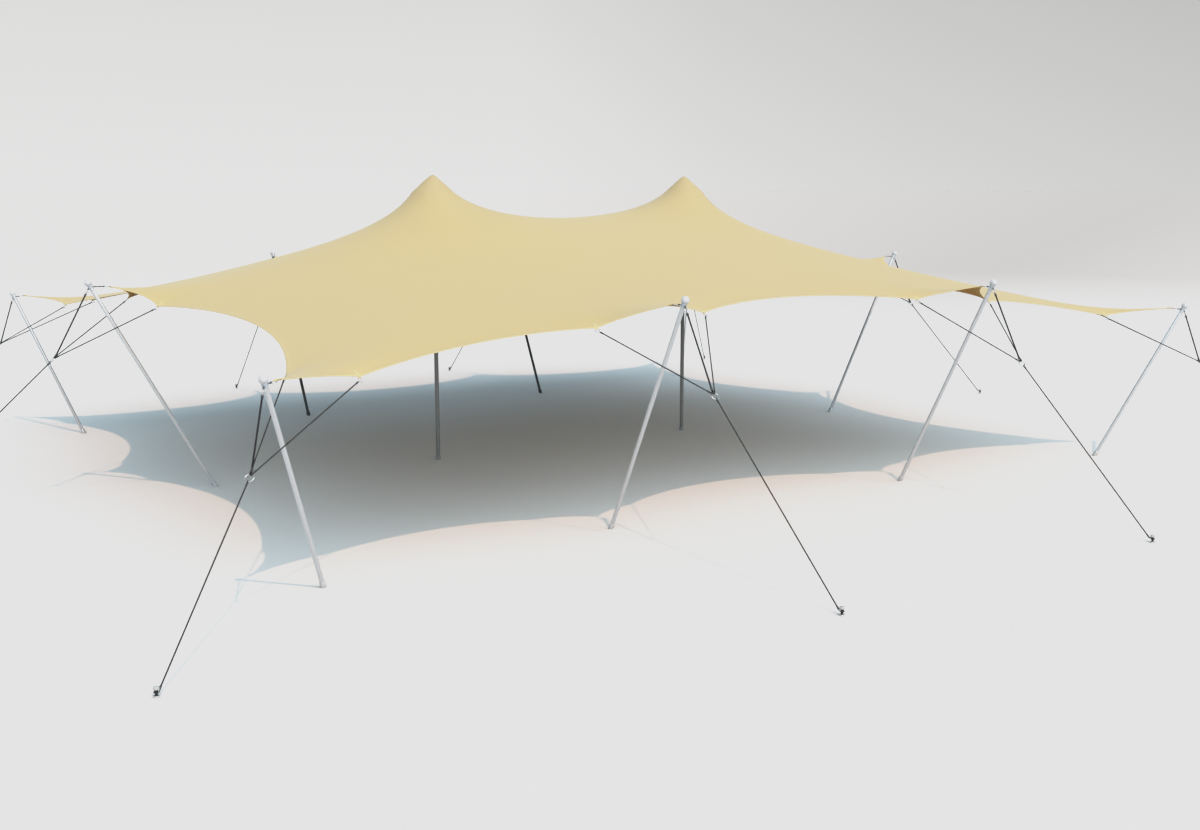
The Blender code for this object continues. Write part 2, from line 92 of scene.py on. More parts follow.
class Signal:
    # One output of a shader node. Arithmetic on it puts Math nodes behind it.

    def __init__(self, tree, socket=None):
        self.tree = tree
        self.socket = socket

    def node(self, kind, settings=None, sockets=None, out=0):
        # Any node: its settings go in first, then the values and links of its sockets
        made = self.tree.nodes.new(kind)
        for name, value in (settings or {}).items():
            if name == "stops":
                ramp = made.color_ramp
                ramp.elements[0].position = value[0][0]
                ramp.elements[1].position = value[-1][0]
                for place, colour in value[1:-1]:
                    ramp.elements.new(place)
                for element, (place, colour) in zip(ramp.elements, value):
                    element.color = (*colour, 1.0)
            else:
                setattr(made, name, value)
        for name, value in (sockets or {}).items():
            if isinstance(value, Signal):
                self.tree.links.new(value.socket, made.inputs[name])
            else:
                made.inputs[name].default_value = value
        return Signal(self.tree, made.outputs[out] if made.outputs else None)

    def maths(self, operation, *values, clamp=False):
        settings = {"operation": operation, "use_clamp": clamp}
        return self.node("ShaderNodeMath", settings, dict(enumerate(values)))

    def __add__(self, other):
        return self.maths("ADD", self, other)

    def __radd__(self, other):
        return self.maths("ADD", other, self)

    def __sub__(self, other):
        return self.maths("SUBTRACT", self, other)

    def __rsub__(self, other):
        return self.maths("SUBTRACT", other, self)

    def __mul__(self, other):
        return self.maths("MULTIPLY", self, other)

    def __rmul__(self, other):
        return self.maths("MULTIPLY", other, self)

    def __truediv__(self, other):
        return self.maths("DIVIDE", self, other)

    def __pow__(self, other):
        return self.maths("POWER", self, other)

    def __abs__(self):
        return self.maths("ABSOLUTE", self)

    def sine(self):
        return self.maths("SINE", self)

    def wave(self, length):
        return (self * (math.tau / length)).sine()

    def least(self, other):
        return self.maths("MINIMUM", self, other)

    def most(self, other):
        return self.maths("MAXIMUM", self, other)

    def above(self, limit):
        return self.maths("GREATER_THAN", self, limit)

    def held(self):
        # Kept from 0 to 1
        return self.maths("ADD", self, 0.0, clamp=True)

    def within(self, limit, sharpness):
        # 1 up to the limit, then a short ramp down to 0
        return (1.0 - (self - limit) * sharpness).held()

    def line(self, value, half):
        # 1 at this value, and down to 0 this far to both sides of it
        return (1.0 - abs(self - value) / half).held()

    def coordinates(self, kind):
        return self.node("ShaderNodeTexCoord", out=kind)

    def split(self):
        return [self.node("ShaderNodeSeparateXYZ", {}, {0: self}, out=axis) for axis in range(3)]

    def vector(self, operation, *values, out=0):
        settings = {"operation": operation}
        return self.node("ShaderNodeVectorMath", settings, dict(enumerate((self, *values))), out)

    def strengthOf(self, colour):
        # The colour, as strong as this signal says
        return self.node("ShaderNodeVectorMath", {"operation": "SCALE"}, {0: colour, "Scale": self})

    def noise(self, scale, detail, stretch=(1.0, 1.0, 1.0)):
        # Soft noise on this signal taken as a place
        place = self.node("ShaderNodeMapping", {}, {"Vector": self, "Scale": stretch})
        return self.node("ShaderNodeTexNoise", {}, {"Vector": place, "Scale": scale, "Detail": detail})

    def blend(self, low, high):
        # From one colour to another as this signal goes from 0 to 1
        low, high = [value if isinstance(value, Signal) else (*value, 1.0) for value in (low, high)]
        return self.node("ShaderNodeMix", {"data_type": "RGBA"}, {0: self, 6: low, 7: high}, out=2)

    def bump(self, strength, distance):
        return self.node("ShaderNodeBump", {}, {"Height": self, "Strength": strength, "Distance": distance})


def newFinish(name, **even):
    # A material and a signal to start from, with what is even all over already set
    material = bpy.data.materials.new(name)
    material.use_nodes = True
    shader = material.node_tree.nodes["Principled BSDF"]
    for socket, value in even.items():
        shader.inputs[socket.replace("_", " ")].default_value = value
    return material, Signal(material.node_tree)


def fed(material, **signals):
    shader = material.node_tree.nodes["Principled BSDF"]
    for socket, signal in signals.items():
        material.node_tree.links.new(signal.socket, shader.inputs[socket.replace("_", " ")])
    return material


# The tent's plan, for the quarter with +X and +Y

stations = {
    "corner": {
        "foot": (5.91, 4.99, 0.0),
        "head": (6.69, 5.75, 2.20),
        "knot": (6.91, 5.93, 1.38),
        "stake": (8.06, 6.99, 0.0),
        "tip": (6.55, 5.66, 2.165),
        "eyes": [(5.59, 5.27, 2.076), (6.12, 4.745, 2.066)],
    },
    "long": {
        "foot": (2.31, 4.64, 0.0),
        "head": (2.33, 6.03, 2.708),
        "knot": (2.32, 6.52, 1.776),
        "stake": (2.31, 8.41, 0.0),
        "tip": (2.34, 5.86, 2.654),
        "eyes": [(3.00, 5.40, 2.401), (1.64, 5.455, 2.495)],
    },
    "short": {
        "foot": (5.38, 0.0, 0.0),
        "head": (6.82, 0.0, 2.705),
        "knot": (7.28, 0.0, 1.795),
        "stake": (9.22, 0.0, 0.0),
        "tip": (6.566, 0.0, 2.644),
        "eyes": [(6.19, 0.69, 2.439), (6.19, -0.69, 2.439)],
    },
}

sidePoles = [
    ("front_left_corner", "corner", (-1, -1)),
    ("front_left", "long", (-1, -1)),
    ("front_right", "long", (1, -1)),
    ("front_right_corner", "corner", (1, -1)),
    ("right_end", "short", (1, 1)),
    ("back_right_corner", "corner", (1, 1)),
    ("back_right", "long", (1, 1)),
    ("back_left", "long", (-1, 1)),
    ("back_left_corner", "corner", (-1, 1)),
    ("left_end", "short", (-1, 1)),
]

seatGap = 0.0003  # what two pieces keep between them where one rests on the other


# Canopy: one stretched sheet

canopyPlan = {
    "half": (6.50, 5.60),  # flat, from the middle to the hem
    "king": 2.25,  # the king poles' place along the flat sheet
    "longEyes": (1.62, 3.00),
    "cornerEyes": (5.59, 4.75),
    "endEye": 0.69,
    "midLine": 2.0,  # the net is finer up to here
    "coneRadius": 0.30,
    "coneSlope": 0.9126,
    "coneRounding": 0.025,
    "kingX": 2.17,  # the king poles' place in the tent
    "peak": 4.015,
    "hemPull": {"middle": 2.02, "long": 2.13, "end": 4.96, "tip": 1.09},
    "lengthwisePull": 1.59,
    "rise": 0.0256,
    "wall": 0.010,  # of the CAD sheet
    "cadNet": ((3, 1, 2, 2, 1, 4, 2), (2, 1, 2, 4, 2)),  # its steps between the stops of netLines, both ways
    "net": ((18, 6, 8, 8, 6, 26, 12, 1, 2), (8, 7, 14, 28, 11, 1, 2)),
    "cloth": 0.004,
    "hem": 0.0072,
    "hemWidth": 0.045,
    "hemRamp": 0.004,
    "rim": 0.42,  # how far the rim stands out, against the hem's thickness
}


def spaced(stops, counts):
    lines = [stops[0]]
    for low, high, count in zip(stops, stops[1:], counts):
        lines += [low + (high - low) * step / count for step in range(1, count + 1)]
    return np.array(lines)


def netLines(counts, hemStops=()):
    # The flat sheet's lines, both ways: they meet its tips, its eyes, the king poles and the stops in its hem
    plan = canopyPlan
    king, reach = plan["king"], plan["coneRadius"]
    innerEye, outerEye = plan["longEyes"]
    cornerLong, cornerShort = plan["cornerEyes"]
    stopsX = [0.0, innerEye, king - reach, king, king + reach, outerEye, cornerLong]
    stopsY = [0.0, reach, plan["endEye"], plan["midLine"], cornerShort]
    return [
        spaced(stops + [half - inward for inward in (*hemStops, 0.0)], steps)
        for stops, half, steps in zip((stopsX, stopsY), plan["half"], counts)
    ]


def settledQuarter(across, along):
    # The sheet at rest: each crossing of its lines lies where the pulls of its threads cancel out
    plan = canopyPlan
    innerEye, outerEye = plan["longEyes"]
    cornerLong, cornerShort = plan["cornerEyes"]

    def near(lines, place):
        return int(np.argmin(abs(lines - place)))

    corner, longSide, short = stations["corner"], stations["long"], stations["short"]
    held = {
        (near(across, innerEye), -1): longSide["eyes"][1],
        (near(across, plan["king"]), -1): longSide["tip"],
        (near(across, outerEye), -1): longSide["eyes"][0],
        (near(across, cornerLong), -1): corner["eyes"][0],
        (-1, -1): corner["tip"],
        (-1, near(along, cornerShort)): corner["eyes"][1],
        (-1, near(along, plan["endEye"])): short["eyes"][0],
        (-1, 0): short["tip"],
    }
    for i, x in enumerate(across):
        for j, y in enumerate(along):
            distance = math.hypot(x - plan["king"], y)
            if distance < plan["coneRadius"] * 1.001:  # the cone's own edge is held too
                rounding = plan["coneRounding"]
                height = plan["peak"] + rounding - math.hypot(plan["coneSlope"] * distance, rounding)
                held[i, j] = (plan["kingX"] + x - plan["king"], y, height)

    free = np.ones((len(across), len(along), 3))
    free[0, :, 0] = 0.0
    free[:, 0, 1] = 0.0
    place = np.zeros(free.shape)
    place[..., 0] = across[:, None]
    place[..., 1] = along[None, :]
    place[..., 2] = 2.8  # a start near the heights that it settles at
    for index, spot in held.items():
        place[index] = spot
        free[index] = 0.0

    stepX, stepY = np.diff(across), np.diff(along)
    widthX, widthY = [(np.append(steps, 0.0) + np.append(0.0, steps)) / 2 for steps in (stepX, stepY)]
    pullX = plan["lengthwisePull"] * widthY[None, :] / stepX[:, None]
    pullY = widthX[:, None] / stepY[None, :]
    hemPull = plan["hemPull"]
    for i, x in enumerate(across[:-1] + stepX / 2):
        part = "middle" if x < innerEye else "long" if outerEye < x < cornerLong else "tip"
        pullX[i, -1] += hemPull[part] / stepX[i]
    for j, y in enumerate(along[:-1] + stepY / 2):
        part = "end" if plan["endEye"] < y < cornerShort else "tip"
        pullY[-1, j] += hemPull[part] / stepY[j]

    def pulls(spots):
        total = np.zeros(spots.shape)
        ways = pullX[..., None] * (spots[1:] - spots[:-1])
        total[:-1] += ways
        total[1:] -= ways
        ways = pullY[..., None] * (spots[:, 1:] - spots[:, :-1])
        total[:, :-1] += ways
        total[:, 1:] -= ways
        return total

    stiffness = np.zeros(free.shape[:2])
    stiffness[:-1] += pullX
    stiffness[1:] += pullX
    stiffness[:, :-1] += pullY
    stiffness[:, 1:] += pullY
    lift = np.zeros(free.shape)
    lift[..., 2] = plan["rise"] * np.outer(widthX, widthY)

    # Conjugate gradients, for the three axes side by side, until the pulls that are left are next to nothing
    mostTurns, calm, tiny = 4000, 1e-10, 1e-30
    left = (lift + pulls(place)) * free
    eased = left / stiffness[..., None]
    way = eased.copy()
    power = (left * eased).sum((0, 1))
    for turn in range(mostTurns):
        answer = -pulls(way) * free
        step = power / np.maximum((way * answer).sum((0, 1)), tiny)
        place += step * way
        left -= step * answer
        if abs(left).max() < calm:
            break
        eased = left / stiffness[..., None]
        following = (left * eased).sum((0, 1))
        way = eased + following / np.maximum(power, tiny) * way
        power = following
    print("canopy: settled in", turn, "turns")
    return place


def wholeSheet(across, along):
    quarter = settledQuarter(across, along)
    half = np.concatenate([quarter[:0:-1] * (-1, 1, 1), quarter])
    grid = np.concatenate([half[:, :0:-1] * (1, -1, 1), half], axis=1)
    return grid, np.concatenate([-across[:0:-1], across]), np.concatenate([-along[:0:-1], along])


def hemDirections():
    # The sheet's direction at each tip and eye, and the way that its hem runs past, as the CAD sheet has them
    grid = wholeSheet(*netLines(canopyPlan["cadNet"]))[0]
    shape = bmesh.new()
    points = [[shape.verts.new(spot) for spot in row] for row in grid]
    for row, following in zip(points, points[1:]):
        for a, b, c, d in zip(row, following, following[1:], row[1:]):
            shape.faces.new((a, b, c, d))
    shape.normal_update()

    def hemAt(spot):
        point = min(shape.verts, key=lambda vert: (vert.co - Vector(spot)).length)
        hems = [edge.other_vert(point).co - point.co for edge in point.link_edges if edge.is_boundary]
        along = (hems[1].normalized() - hems[0].normalized()).normalized()
        return point.normal.copy() * math.copysign(1.0, point.normal.z), along

    found = {
        kind: {"tip": hemAt(place["tip"]), "eyes": [hemAt(eye) for eye in place["eyes"]]}
        for kind, place in stations.items()
    }
    shape.free()
    return found


def slopes(grid):
    # The upright direction of the sheet at every crossing
    alongX, alongY = np.zeros(grid.shape), np.zeros(grid.shape)
    alongX[1:-1], alongX[0], alongX[-1] = grid[2:] - grid[:-2], grid[1] - grid[0], grid[-1] - grid[-2]
    alongY[:, 1:-1] = grid[:, 2:] - grid[:, :-2]
    alongY[:, 0], alongY[:, -1] = grid[:, 1] - grid[:, 0], grid[:, -1] - grid[:, -2]
    upright = np.cross(alongX, alongY)
    return upright / np.linalg.norm(upright, axis=2, keepdims=True)


def facedOut(mesh):
    # Turns the faces of a closed mesh outwards and smooths them
    shape = bmesh.new()
    shape.from_mesh(mesh)
    bmesh.ops.recalc_face_normals(shape, faces=shape.faces)
    shape.to_mesh(mesh)
    shape.free()
    mesh.shade_smooth()
    return mesh


def makeCanopy():
    # A closed shell: cloth, a doubled hem along its edge, and a rounded rim
    plan = canopyPlan
    halfLength, halfWidth = plan["half"]
    hem = plan["hemWidth"]
    grid, flatX, flatY = wholeSheet(*netLines(plan["net"], (hem + plan["hemRamp"], hem)))
    fromHem = np.minimum((halfLength - abs(flatX))[:, None], (halfWidth - abs(flatY))[None, :])
    half = np.where(fromHem < hem + 1e-6, plan["hem"] / 2, plan["cloth"] / 2)[..., None] * slopes(grid)
    countX, countY = grid.shape[:2]
    flat = np.stack(np.meshgrid(flatX, flatY, indexing="ij"), axis=2)

    # The rim goes round the sheet once: its spots stand out a little from the edge
    around = [(i, 0) for i in range(countX)] + [(countX - 1, j) for j in range(1, countY)]
    around += [(i, countY - 1) for i in range(countX - 2, -1, -1)]
    around += [(0, j) for j in range(countY - 2, 0, -1)]
    rim = []
    for i, j in around:
        inner = (min(max(i, 1), countX - 2), min(max(j, 1), countY - 2))
        away = grid[i, j] - grid[inner]
        rim.append(grid[i, j] + away / np.linalg.norm(away) * plan["hem"] * plan["rim"])

    size = countX * countY
    points = np.concatenate([(grid + half).reshape(-1, 3), (grid - half).reshape(-1, 3), rim])
    flats = np.concatenate([flat.reshape(-1, 2), flat.reshape(-1, 2), [flat[spot] for spot in around]])
    cells = [i * countY + j for i in range(countX - 1) for j in range(countY - 1)]
    faces = [(a, a + countY, a + countY + 1, a + 1) for a in cells]
    lower = [(size + a, size + a + 1, size + a + countY + 1, size + a + countY) for a in cells]
    band = []
    for k, (i, j) in enumerate(around):
        following = (k + 1) % len(around)
        a, b = i * countY + j, around[following][0] * countY + around[following][1]
        m, n = 2 * size + k, 2 * size + following
        band += [(a, m, n, b), (m, size + a, size + b, n)]
    mesh = bpy.data.meshes.new("canopy")
    mesh.from_pydata(points.tolist(), [], faces + lower + band)
    corners = np.zeros(len(mesh.loops), np.int32)
    mesh.loops.foreach_get("vertex_index", corners)
    mesh.uv_layers.new(name="flat").data.foreach_set("uv", flats[corners].ravel())
    slots = np.zeros(len(mesh.polygons), np.int32)
    slots[len(faces):len(faces) + len(lower)] = 1
    mesh.polygons.foreach_set("material_index", slots)
    return linked("canopy_cloth", facedOut(mesh))


# Finishes of the cloth

clothLook = {
    "sand": (0.4285, 0.337, 0.1665),
    "sandWorn": (0.415, 0.3245, 0.157),
    # painted shade over the cones round the king poles
    "peak": (0.349, 0.2847, 0.1625),
    "hem": (0.4265, 0.337, 0.168),
    "thread": (0.60, 0.52, 0.33),
    # The underside is the same cloth as the top, painted darker and browner: painted shade, and painted warm
    # light shining through the cloth
    "under": (0.311, 0.174, 0.047),
    "underWorn": (0.279, 0.154, 0.041),
    "underHem": (0.325, 0.197, 0.067),
    "binding": 0.008,
    "rib": 0.0045,
    "stitch": (0.012, 0.0014),  # its pitch, and half the width of its row
    "rows": (0.007, 0.037),  # of stitches, from the edge
    "patch": (0.130, 0.122),  # radius, and that of its row of stitches
    "drawn": (1.7, 1.6),  # how far from a king pole the painted shade over the cones reaches, and how fast it fades
}


def clothFinish(name, main, worn, hem, peak, sheen, gloss):
    look, plan = clothLook, canopyPlan
    even = {"Roughness": 0.85, "Sheen_Weight": sheen, "Sheen_Roughness": 0.5, "Specular_IOR_Level": gloss}
    material, start = newFinish(name, **even)
    flat = start.coordinates("UV")
    x, y = [abs(axis) for axis in flat.split()[:2]]
    halfLength, halfWidth = plan["half"]
    edgeX, edgeY = halfLength - x, halfWidth - y
    fromEdge = edgeX.least(edgeY)

    # Knit ribs, a soft unevenness of the dye, and the hem with two rows of stitches
    ribs = x.wave(look["rib"]) * y.wave(look["rib"] * 1.6)
    grain, clouds = flat.noise(70.0, 3.0), flat.noise(0.45, 4.0)
    hemBand = fromEdge.within(plan["hemWidth"], 400.0)
    binding = fromEdge.within(look["binding"], 600.0)
    run = edgeX.above(edgeY)
    pitch, thread = look["stitch"]
    dashes = ((x * run + y * (1.0 - run)).wave(pitch) + 0.35).above(0.0)
    outerRow, innerRow = [fromEdge.line(row, thread) for row in look["rows"]]
    stitches = outerRow.most(innerRow) * dashes

    # Doubled patches at the tips and eyes, each with a row of stitches round it
    cornerLong, cornerShort = plan["cornerEyes"]
    eyes = [(across, halfWidth, 0.0) for across in (plan["king"], *plan["longEyes"], cornerLong, halfLength)]
    eyes += [(halfLength, along, 0.0) for along in (cornerShort, plan["endEye"], 0.0)]
    here = start.node("ShaderNodeCombineXYZ", {}, {0: x, 1: y})
    nearest, *others = [here.vector("DISTANCE", eye, out=1) for eye in eyes]
    for away in others:
        nearest = nearest.least(away)
    patchRadius, patchRow = look["patch"]
    patch = nearest.within(patchRadius, 400.0)
    stitches = stitches.most(nearest.line(patchRow, thread))

    # The sheet is painted darker round the king poles, where it is stretched most: painted shade over the cones
    reach, fading = look["drawn"]
    drawn = (1.0 - here.vector("DISTANCE", (plan["king"], 0.0, 0.0), out=1) / reach).held() ** fading
    colour = drawn.blend((clouds * 0.7 + grain * 0.5 - 0.1).held().blend(worn, main), peak)
    colour = hemBand.most(patch * 0.35).blend(colour, hem)
    colour = (stitches * 0.7).most(binding * 0.20).blend(colour, look["thread"])
    height = ribs * 0.25 + grain * 0.5 + patch * 0.8 + stitches * 1.2
    return fed(material, Base_Color=colour, Roughness=0.80 + grain * 0.12, Normal=height.bump(0.35, 0.0012))


canopy = makeCanopy()
clothSides = {
    "sandCloth": (("sand", "sandWorn", "hem", "peak"), 0.12, 0.2),  # colours, sheen and gloss
    # the underside's colours carry painted shade and painted light through the cloth
    "paintedShadeUnderCloth": (("under", "underWorn", "underHem", "underWorn"), 0.0, 0.08),
}
for name, (colours, sheen, gloss) in clothSides.items():
    colours = [clothLook[colour] for colour in colours]
    canopy.data.materials.append(clothFinish(name, *colours, sheen, gloss))
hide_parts("canopy")
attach(canopy, "root")
hems = hemDirections()
print("canopy: made,", len(canopy.data.polygons), "faces")


# Finishes of the metal, ropes and plastic

def tubeFinish(name, light, dark, metal):
    material, start = newFinish(name, Metallic=metal)
    wrap, place = start.coordinates("UV"), start.coordinates("Object")
    brushed = wrap.noise(40.0, 3.0, (3.0, 0.12, 1.0))
    blotches = place.noise(5.0, 3.0)
    scuffs = (place.noise(34.0, 5.0) * 4.0 - 2.5).held()
    colour = (brushed * 0.7 + blotches * 0.5 - 0.1).held().blend(dark, light)
    colour = (scuffs * 0.35).blend(colour, [value * 0.8 for value in dark])
    rough = 0.30 + brushed * 0.16 + scuffs * 0.2
    return fed(material, Base_Color=colour, Roughness=rough, Normal=brushed.bump(0.12, 0.0004))


def castFinish(name, light, dark, metal, roughness, grainScale=260.0):
    # Cast or moulded pieces: a fine pebbled skin, and dirt where it gathers
    material, start = newFinish(name, Metallic=metal)
    place = start.coordinates("Object")
    pebbles = place.noise(grainScale, 3.0)
    blotches = place.noise(14.0, 4.0)
    dirt = (place.noise(45.0, 5.0) * 3.5 - 1.9).held()
    colour = (blotches * 1.2 - 0.1).held().blend(dark, light)
    colour = (dirt * 0.25).blend(colour, [value * 0.45 for value in dark])
    rough = roughness + blotches * 0.12
    return fed(material, Base_Color=colour, Roughness=rough, Normal=pebbles.bump(0.18, 0.0005))


def ringFinish():
    look = {"light": (0.45, 0.45, 0.45), "dark": (0.33, 0.33, 0.33)}
    material, start = newFinish("brightSteel", Metallic=0.85)
    place = start.coordinates("Object")
    drawn = place.noise(180.0, 3.0)
    tarnish = (place.noise(30.0, 4.0) * 3.0 - 1.4).held()
    colour = (tarnish * 0.6).blend(look["light"], look["dark"])
    return fed(material, Base_Color=colour, Roughness=0.22 + tarnish * 0.18, Normal=drawn.bump(0.06, 0.0003))


def ropeFinish(name, dark, light, strands, pitch):
    # A round braid: two families of strands wind round the rope against each other
    material, start = newFinish(name, Specular_IOR_Level=0.12)
    u, v = start.coordinates("UV").split()[:2]
    place = start.coordinates("Object")
    turn, climb = u * (math.tau * strands), v * (math.tau / pitch)
    braid = (turn + climb).sine().most((turn - climb).sine()) * 0.5 + 0.5
    fuzz, dusty = place.noise(700.0, 3.0), place.noise(6.0, 3.0)
    # The colour follows the braid, lighter on the strands and darker in the grooves between them: painted
    # shade, mixed with fuzz and dust
    colour = (braid * 0.6 + fuzz * 0.4 + dusty * 0.3 - 0.25).held().blend(dark, light)
    height = braid + fuzz * 0.3
    return fed(material, Base_Color=colour, Roughness=0.70 + fuzz * 0.2, Normal=height.bump(0.5, 0.0010))


def webbingFinish():
    look = {"pale": (0.54, 0.445, 0.245), "shade": (0.47, 0.38, 0.20), "thread": (0.66, 0.58, 0.40)}
    material, start = newFinish("creamWebbing", Specular_IOR_Level=0.3)
    u, v = start.coordinates("UV").split()[:2]
    weave = u.wave(0.0032) * v.wave(0.0024) * 0.5 + 0.5
    stitches = abs(u).line(0.0065, 0.0009) * (v.wave(0.006) + 0.3).above(0.0)
    grime = start.coordinates("Object").noise(60.0, 3.0)
    colour = (weave * 0.6 + grime * 0.4).blend(look["shade"], look["pale"])
    colour = stitches.blend(colour, look["thread"])
    height = weave + stitches
    return fed(material, Base_Color=colour, Roughness=0.75 + weave * 0.1, Normal=height.bump(0.5, 0.0006))


finishes = {
    "tube": tubeFinish("satinTube", (0.565, 0.575, 0.59), (0.475, 0.485, 0.50), 0.6),
    "kingTube": tubeFinish("darkTube", (0.215, 0.213, 0.205), (0.145, 0.145, 0.14), 0.35),
    # Darker copies of the satin tube for the poles in the canopy's shade: painted shade
    "shadeBlackTube": tubeFinish("shadeBlackTube", (0.050, 0.051, 0.053), (0.028, 0.029, 0.031), 0.3),
    "shadeGreyTube": tubeFinish("shadeGreyTube", (0.42, 0.43, 0.445), (0.35, 0.36, 0.375), 0.6),
    "shoe": castFinish("paleShoe", (0.46, 0.46, 0.46), (0.34, 0.34, 0.345), 0.3, 0.42),
    "kingShoe": castFinish("darkShoe", (0.24, 0.24, 0.245), (0.16, 0.16, 0.165), 0.2, 0.45),
    "ball": castFinish("paleBall", (0.455, 0.455, 0.465), (0.40, 0.40, 0.415), 0.0, 0.36),
    "collar": castFinish("greyCollar", (0.44, 0.46, 0.50), (0.32, 0.34, 0.37), 0.55, 0.34),
    "pin": castFinish("darkPin", (0.085, 0.095, 0.10), (0.045, 0.05, 0.055), 0.5, 0.38),
    "ring": ringFinish(),
    "headRope": ropeFinish("blackRope", (0.008, 0.008, 0.009), (0.032, 0.032, 0.034), 6.0, 0.034),
    "rope": ropeFinish("greyRope", (0.014, 0.014, 0.014), (0.052, 0.052, 0.051), 5.0, 0.020),
    "sleeve": castFinish("blackSleeve", (0.022, 0.022, 0.024), (0.010, 0.010, 0.011), 0.0, 0.45, 500.0),
    "webbing": webbingFinish(),
    "stakeCap": castFinish("stakeCapMetal", (0.44, 0.44, 0.435), (0.33, 0.33, 0.325), 0.3, 0.42),
    "stakeCore": castFinish("stakeCoreRubber", (0.016, 0.016, 0.017), (0.008, 0.008, 0.009), 0.0, 0.5),
    "kingCap": castFinish("kingCapPlastic", (0.72, 0.71, 0.66), (0.60, 0.59, 0.55), 0.0, 0.5),
}
print("finishes:", len(finishes) + len(clothSides))


# Modelling helpers

def deselect():
    if bpy.context.object and bpy.context.object.mode != "OBJECT":
        bpy.ops.object.mode_set(mode="OBJECT")
    bpy.ops.object.select_all(action="DESELECT")


def onlyThis(piece):
    deselect()
    bpy.context.view_layer.objects.active = piece
    piece.select_set(True)


def shaping(name):
    # The primitive that was just added gets its name and goes into edit mode
    piece = bpy.context.object
    piece.name = piece.data.name = name
    bpy.ops.object.mode_set(mode="EDIT")
    return piece


def pick(piece, kind, test):
    # In edit mode, selects the vertices or faces that pass the test
    bpy.ops.mesh.select_mode(type=kind)
    bpy.ops.mesh.select_all(action="DESELECT")
    shape = bmesh.from_edit_mesh(piece.data)
    for item in shape.verts if kind == "VERT" else shape.faces:
        if test(item):
            item.select_set(True)
    shape.select_flush_mode()
    bmesh.update_edit_mesh(piece.data)


def shaped(piece, bevel=0.0, segments=2, smooth=38.0):
    # Out of edit mode: faces turned outwards, edges eased, shading smoothed
    bpy.ops.mesh.select_all(action="SELECT")
    bpy.ops.mesh.normals_make_consistent(inside=False)
    bpy.ops.object.mode_set(mode="OBJECT")
    onlyThis(piece)
    if bevel:
        ease = piece.modifiers.new("ease", "BEVEL")
        ease.width = bevel
        ease.segments = segments
        ease.limit_method = "ANGLE"
        ease.angle_limit = math.radians(28)
        bpy.ops.object.modifier_apply(modifier="ease")
    bpy.ops.object.shade_smooth_by_angle(angle=math.radians(smooth))
    return piece


def cutBelow(height):
    # In edit mode, cuts off what lies under this height and closes the cut
    bpy.ops.mesh.select_all(action="SELECT")
    bpy.ops.mesh.bisect(plane_co=(0, 0, height), plane_no=(0, 0, 1), clear_inner=True, use_fill=True)


def turnedPiece(name, steps, sides, bevel=0.0, segments=2, unit=1.0):
    # A disc extruded step by step: each step is (height, radius in units), from the bottom up
    deselect()
    steps = [(height, radius * unit) for height, radius in steps]
    height, radius = steps[0]
    bpy.ops.mesh.primitive_circle_add(vertices=sides, radius=radius, fill_type="NGON")
    piece = shaping(name)
    bpy.ops.mesh.select_all(action="SELECT")
    bpy.ops.transform.translate(value=(0, 0, height))
    for newHeight, newRadius in steps[1:]:
        bpy.ops.mesh.extrude_region_move(TRANSFORM_OT_translate={"value": (0, 0, newHeight - height)})
        ratio = newRadius / radius
        bpy.ops.transform.resize(value=(ratio, ratio, 1), center_override=(0, 0, newHeight))
        height, radius = newHeight, newRadius
    return wrapped(shaped(piece, bevel, segments))


def wrapped(piece):
    # A UV round the piece's own Z: u is the share of a turn, v the height in metres
    mesh = piece.data
    layer = mesh.uv_layers.get("wrap") or mesh.uv_layers.new(name="wrap")
    for face in mesh.polygons:
        turns = [math.atan2(mesh.vertices[v].co.y, mesh.vertices[v].co.x) / math.tau for v in face.vertices]
        for loop, vertex, turn in zip(face.loop_indices, face.vertices, turns):
            if turn - turns[0] > 0.5:
                turn -= 1.0
            elif turns[0] - turn > 0.5:
                turn += 1.0
            layer.data[loop].uv = (turn, mesh.vertices[vertex].co.z)
    mesh.uv_layers.active = layer
    return piece


def ringPiece(name, radius, wire, bead):
    # A closed wire ring round Z, with a weld bead on the side of +Y
    deselect()
    bpy.ops.mesh.primitive_torus_add(
        major_radius=radius, minor_radius=wire, major_segments=48, minor_segments=14
    )
    piece = shaping(name)
    pick(piece, "VERT", lambda vert: vert.co.y > 0 and abs(vert.co.x) < wire * 0.65)
    bpy.ops.transform.shrink_fatten(value=bead)
    return wrapped(shaped(piece, smooth=60.0))


def placed(piece, place, along, toward):
    # Stands the piece's Z along one direction and its X toward another, at its place in the tent
    z = Vector(along).normalized()
    x = Vector(toward) - z * Vector(toward).dot(z)
    x.normalize()
    turn = Matrix((x, z.cross(x), z)).transposed().to_4x4()
    onlyThis(piece)
    piece.matrix_world = Matrix.Translation(Vector(place)) @ turn
    bpy.ops.object.transform_apply(location=True, rotation=True, scale=True)
    return piece


def joined(pieces):
    deselect()
    for piece in pieces:
        piece.select_set(True)
    bpy.context.view_layer.objects.active = pieces[0]
    bpy.ops.object.join()
    return pieces[0]


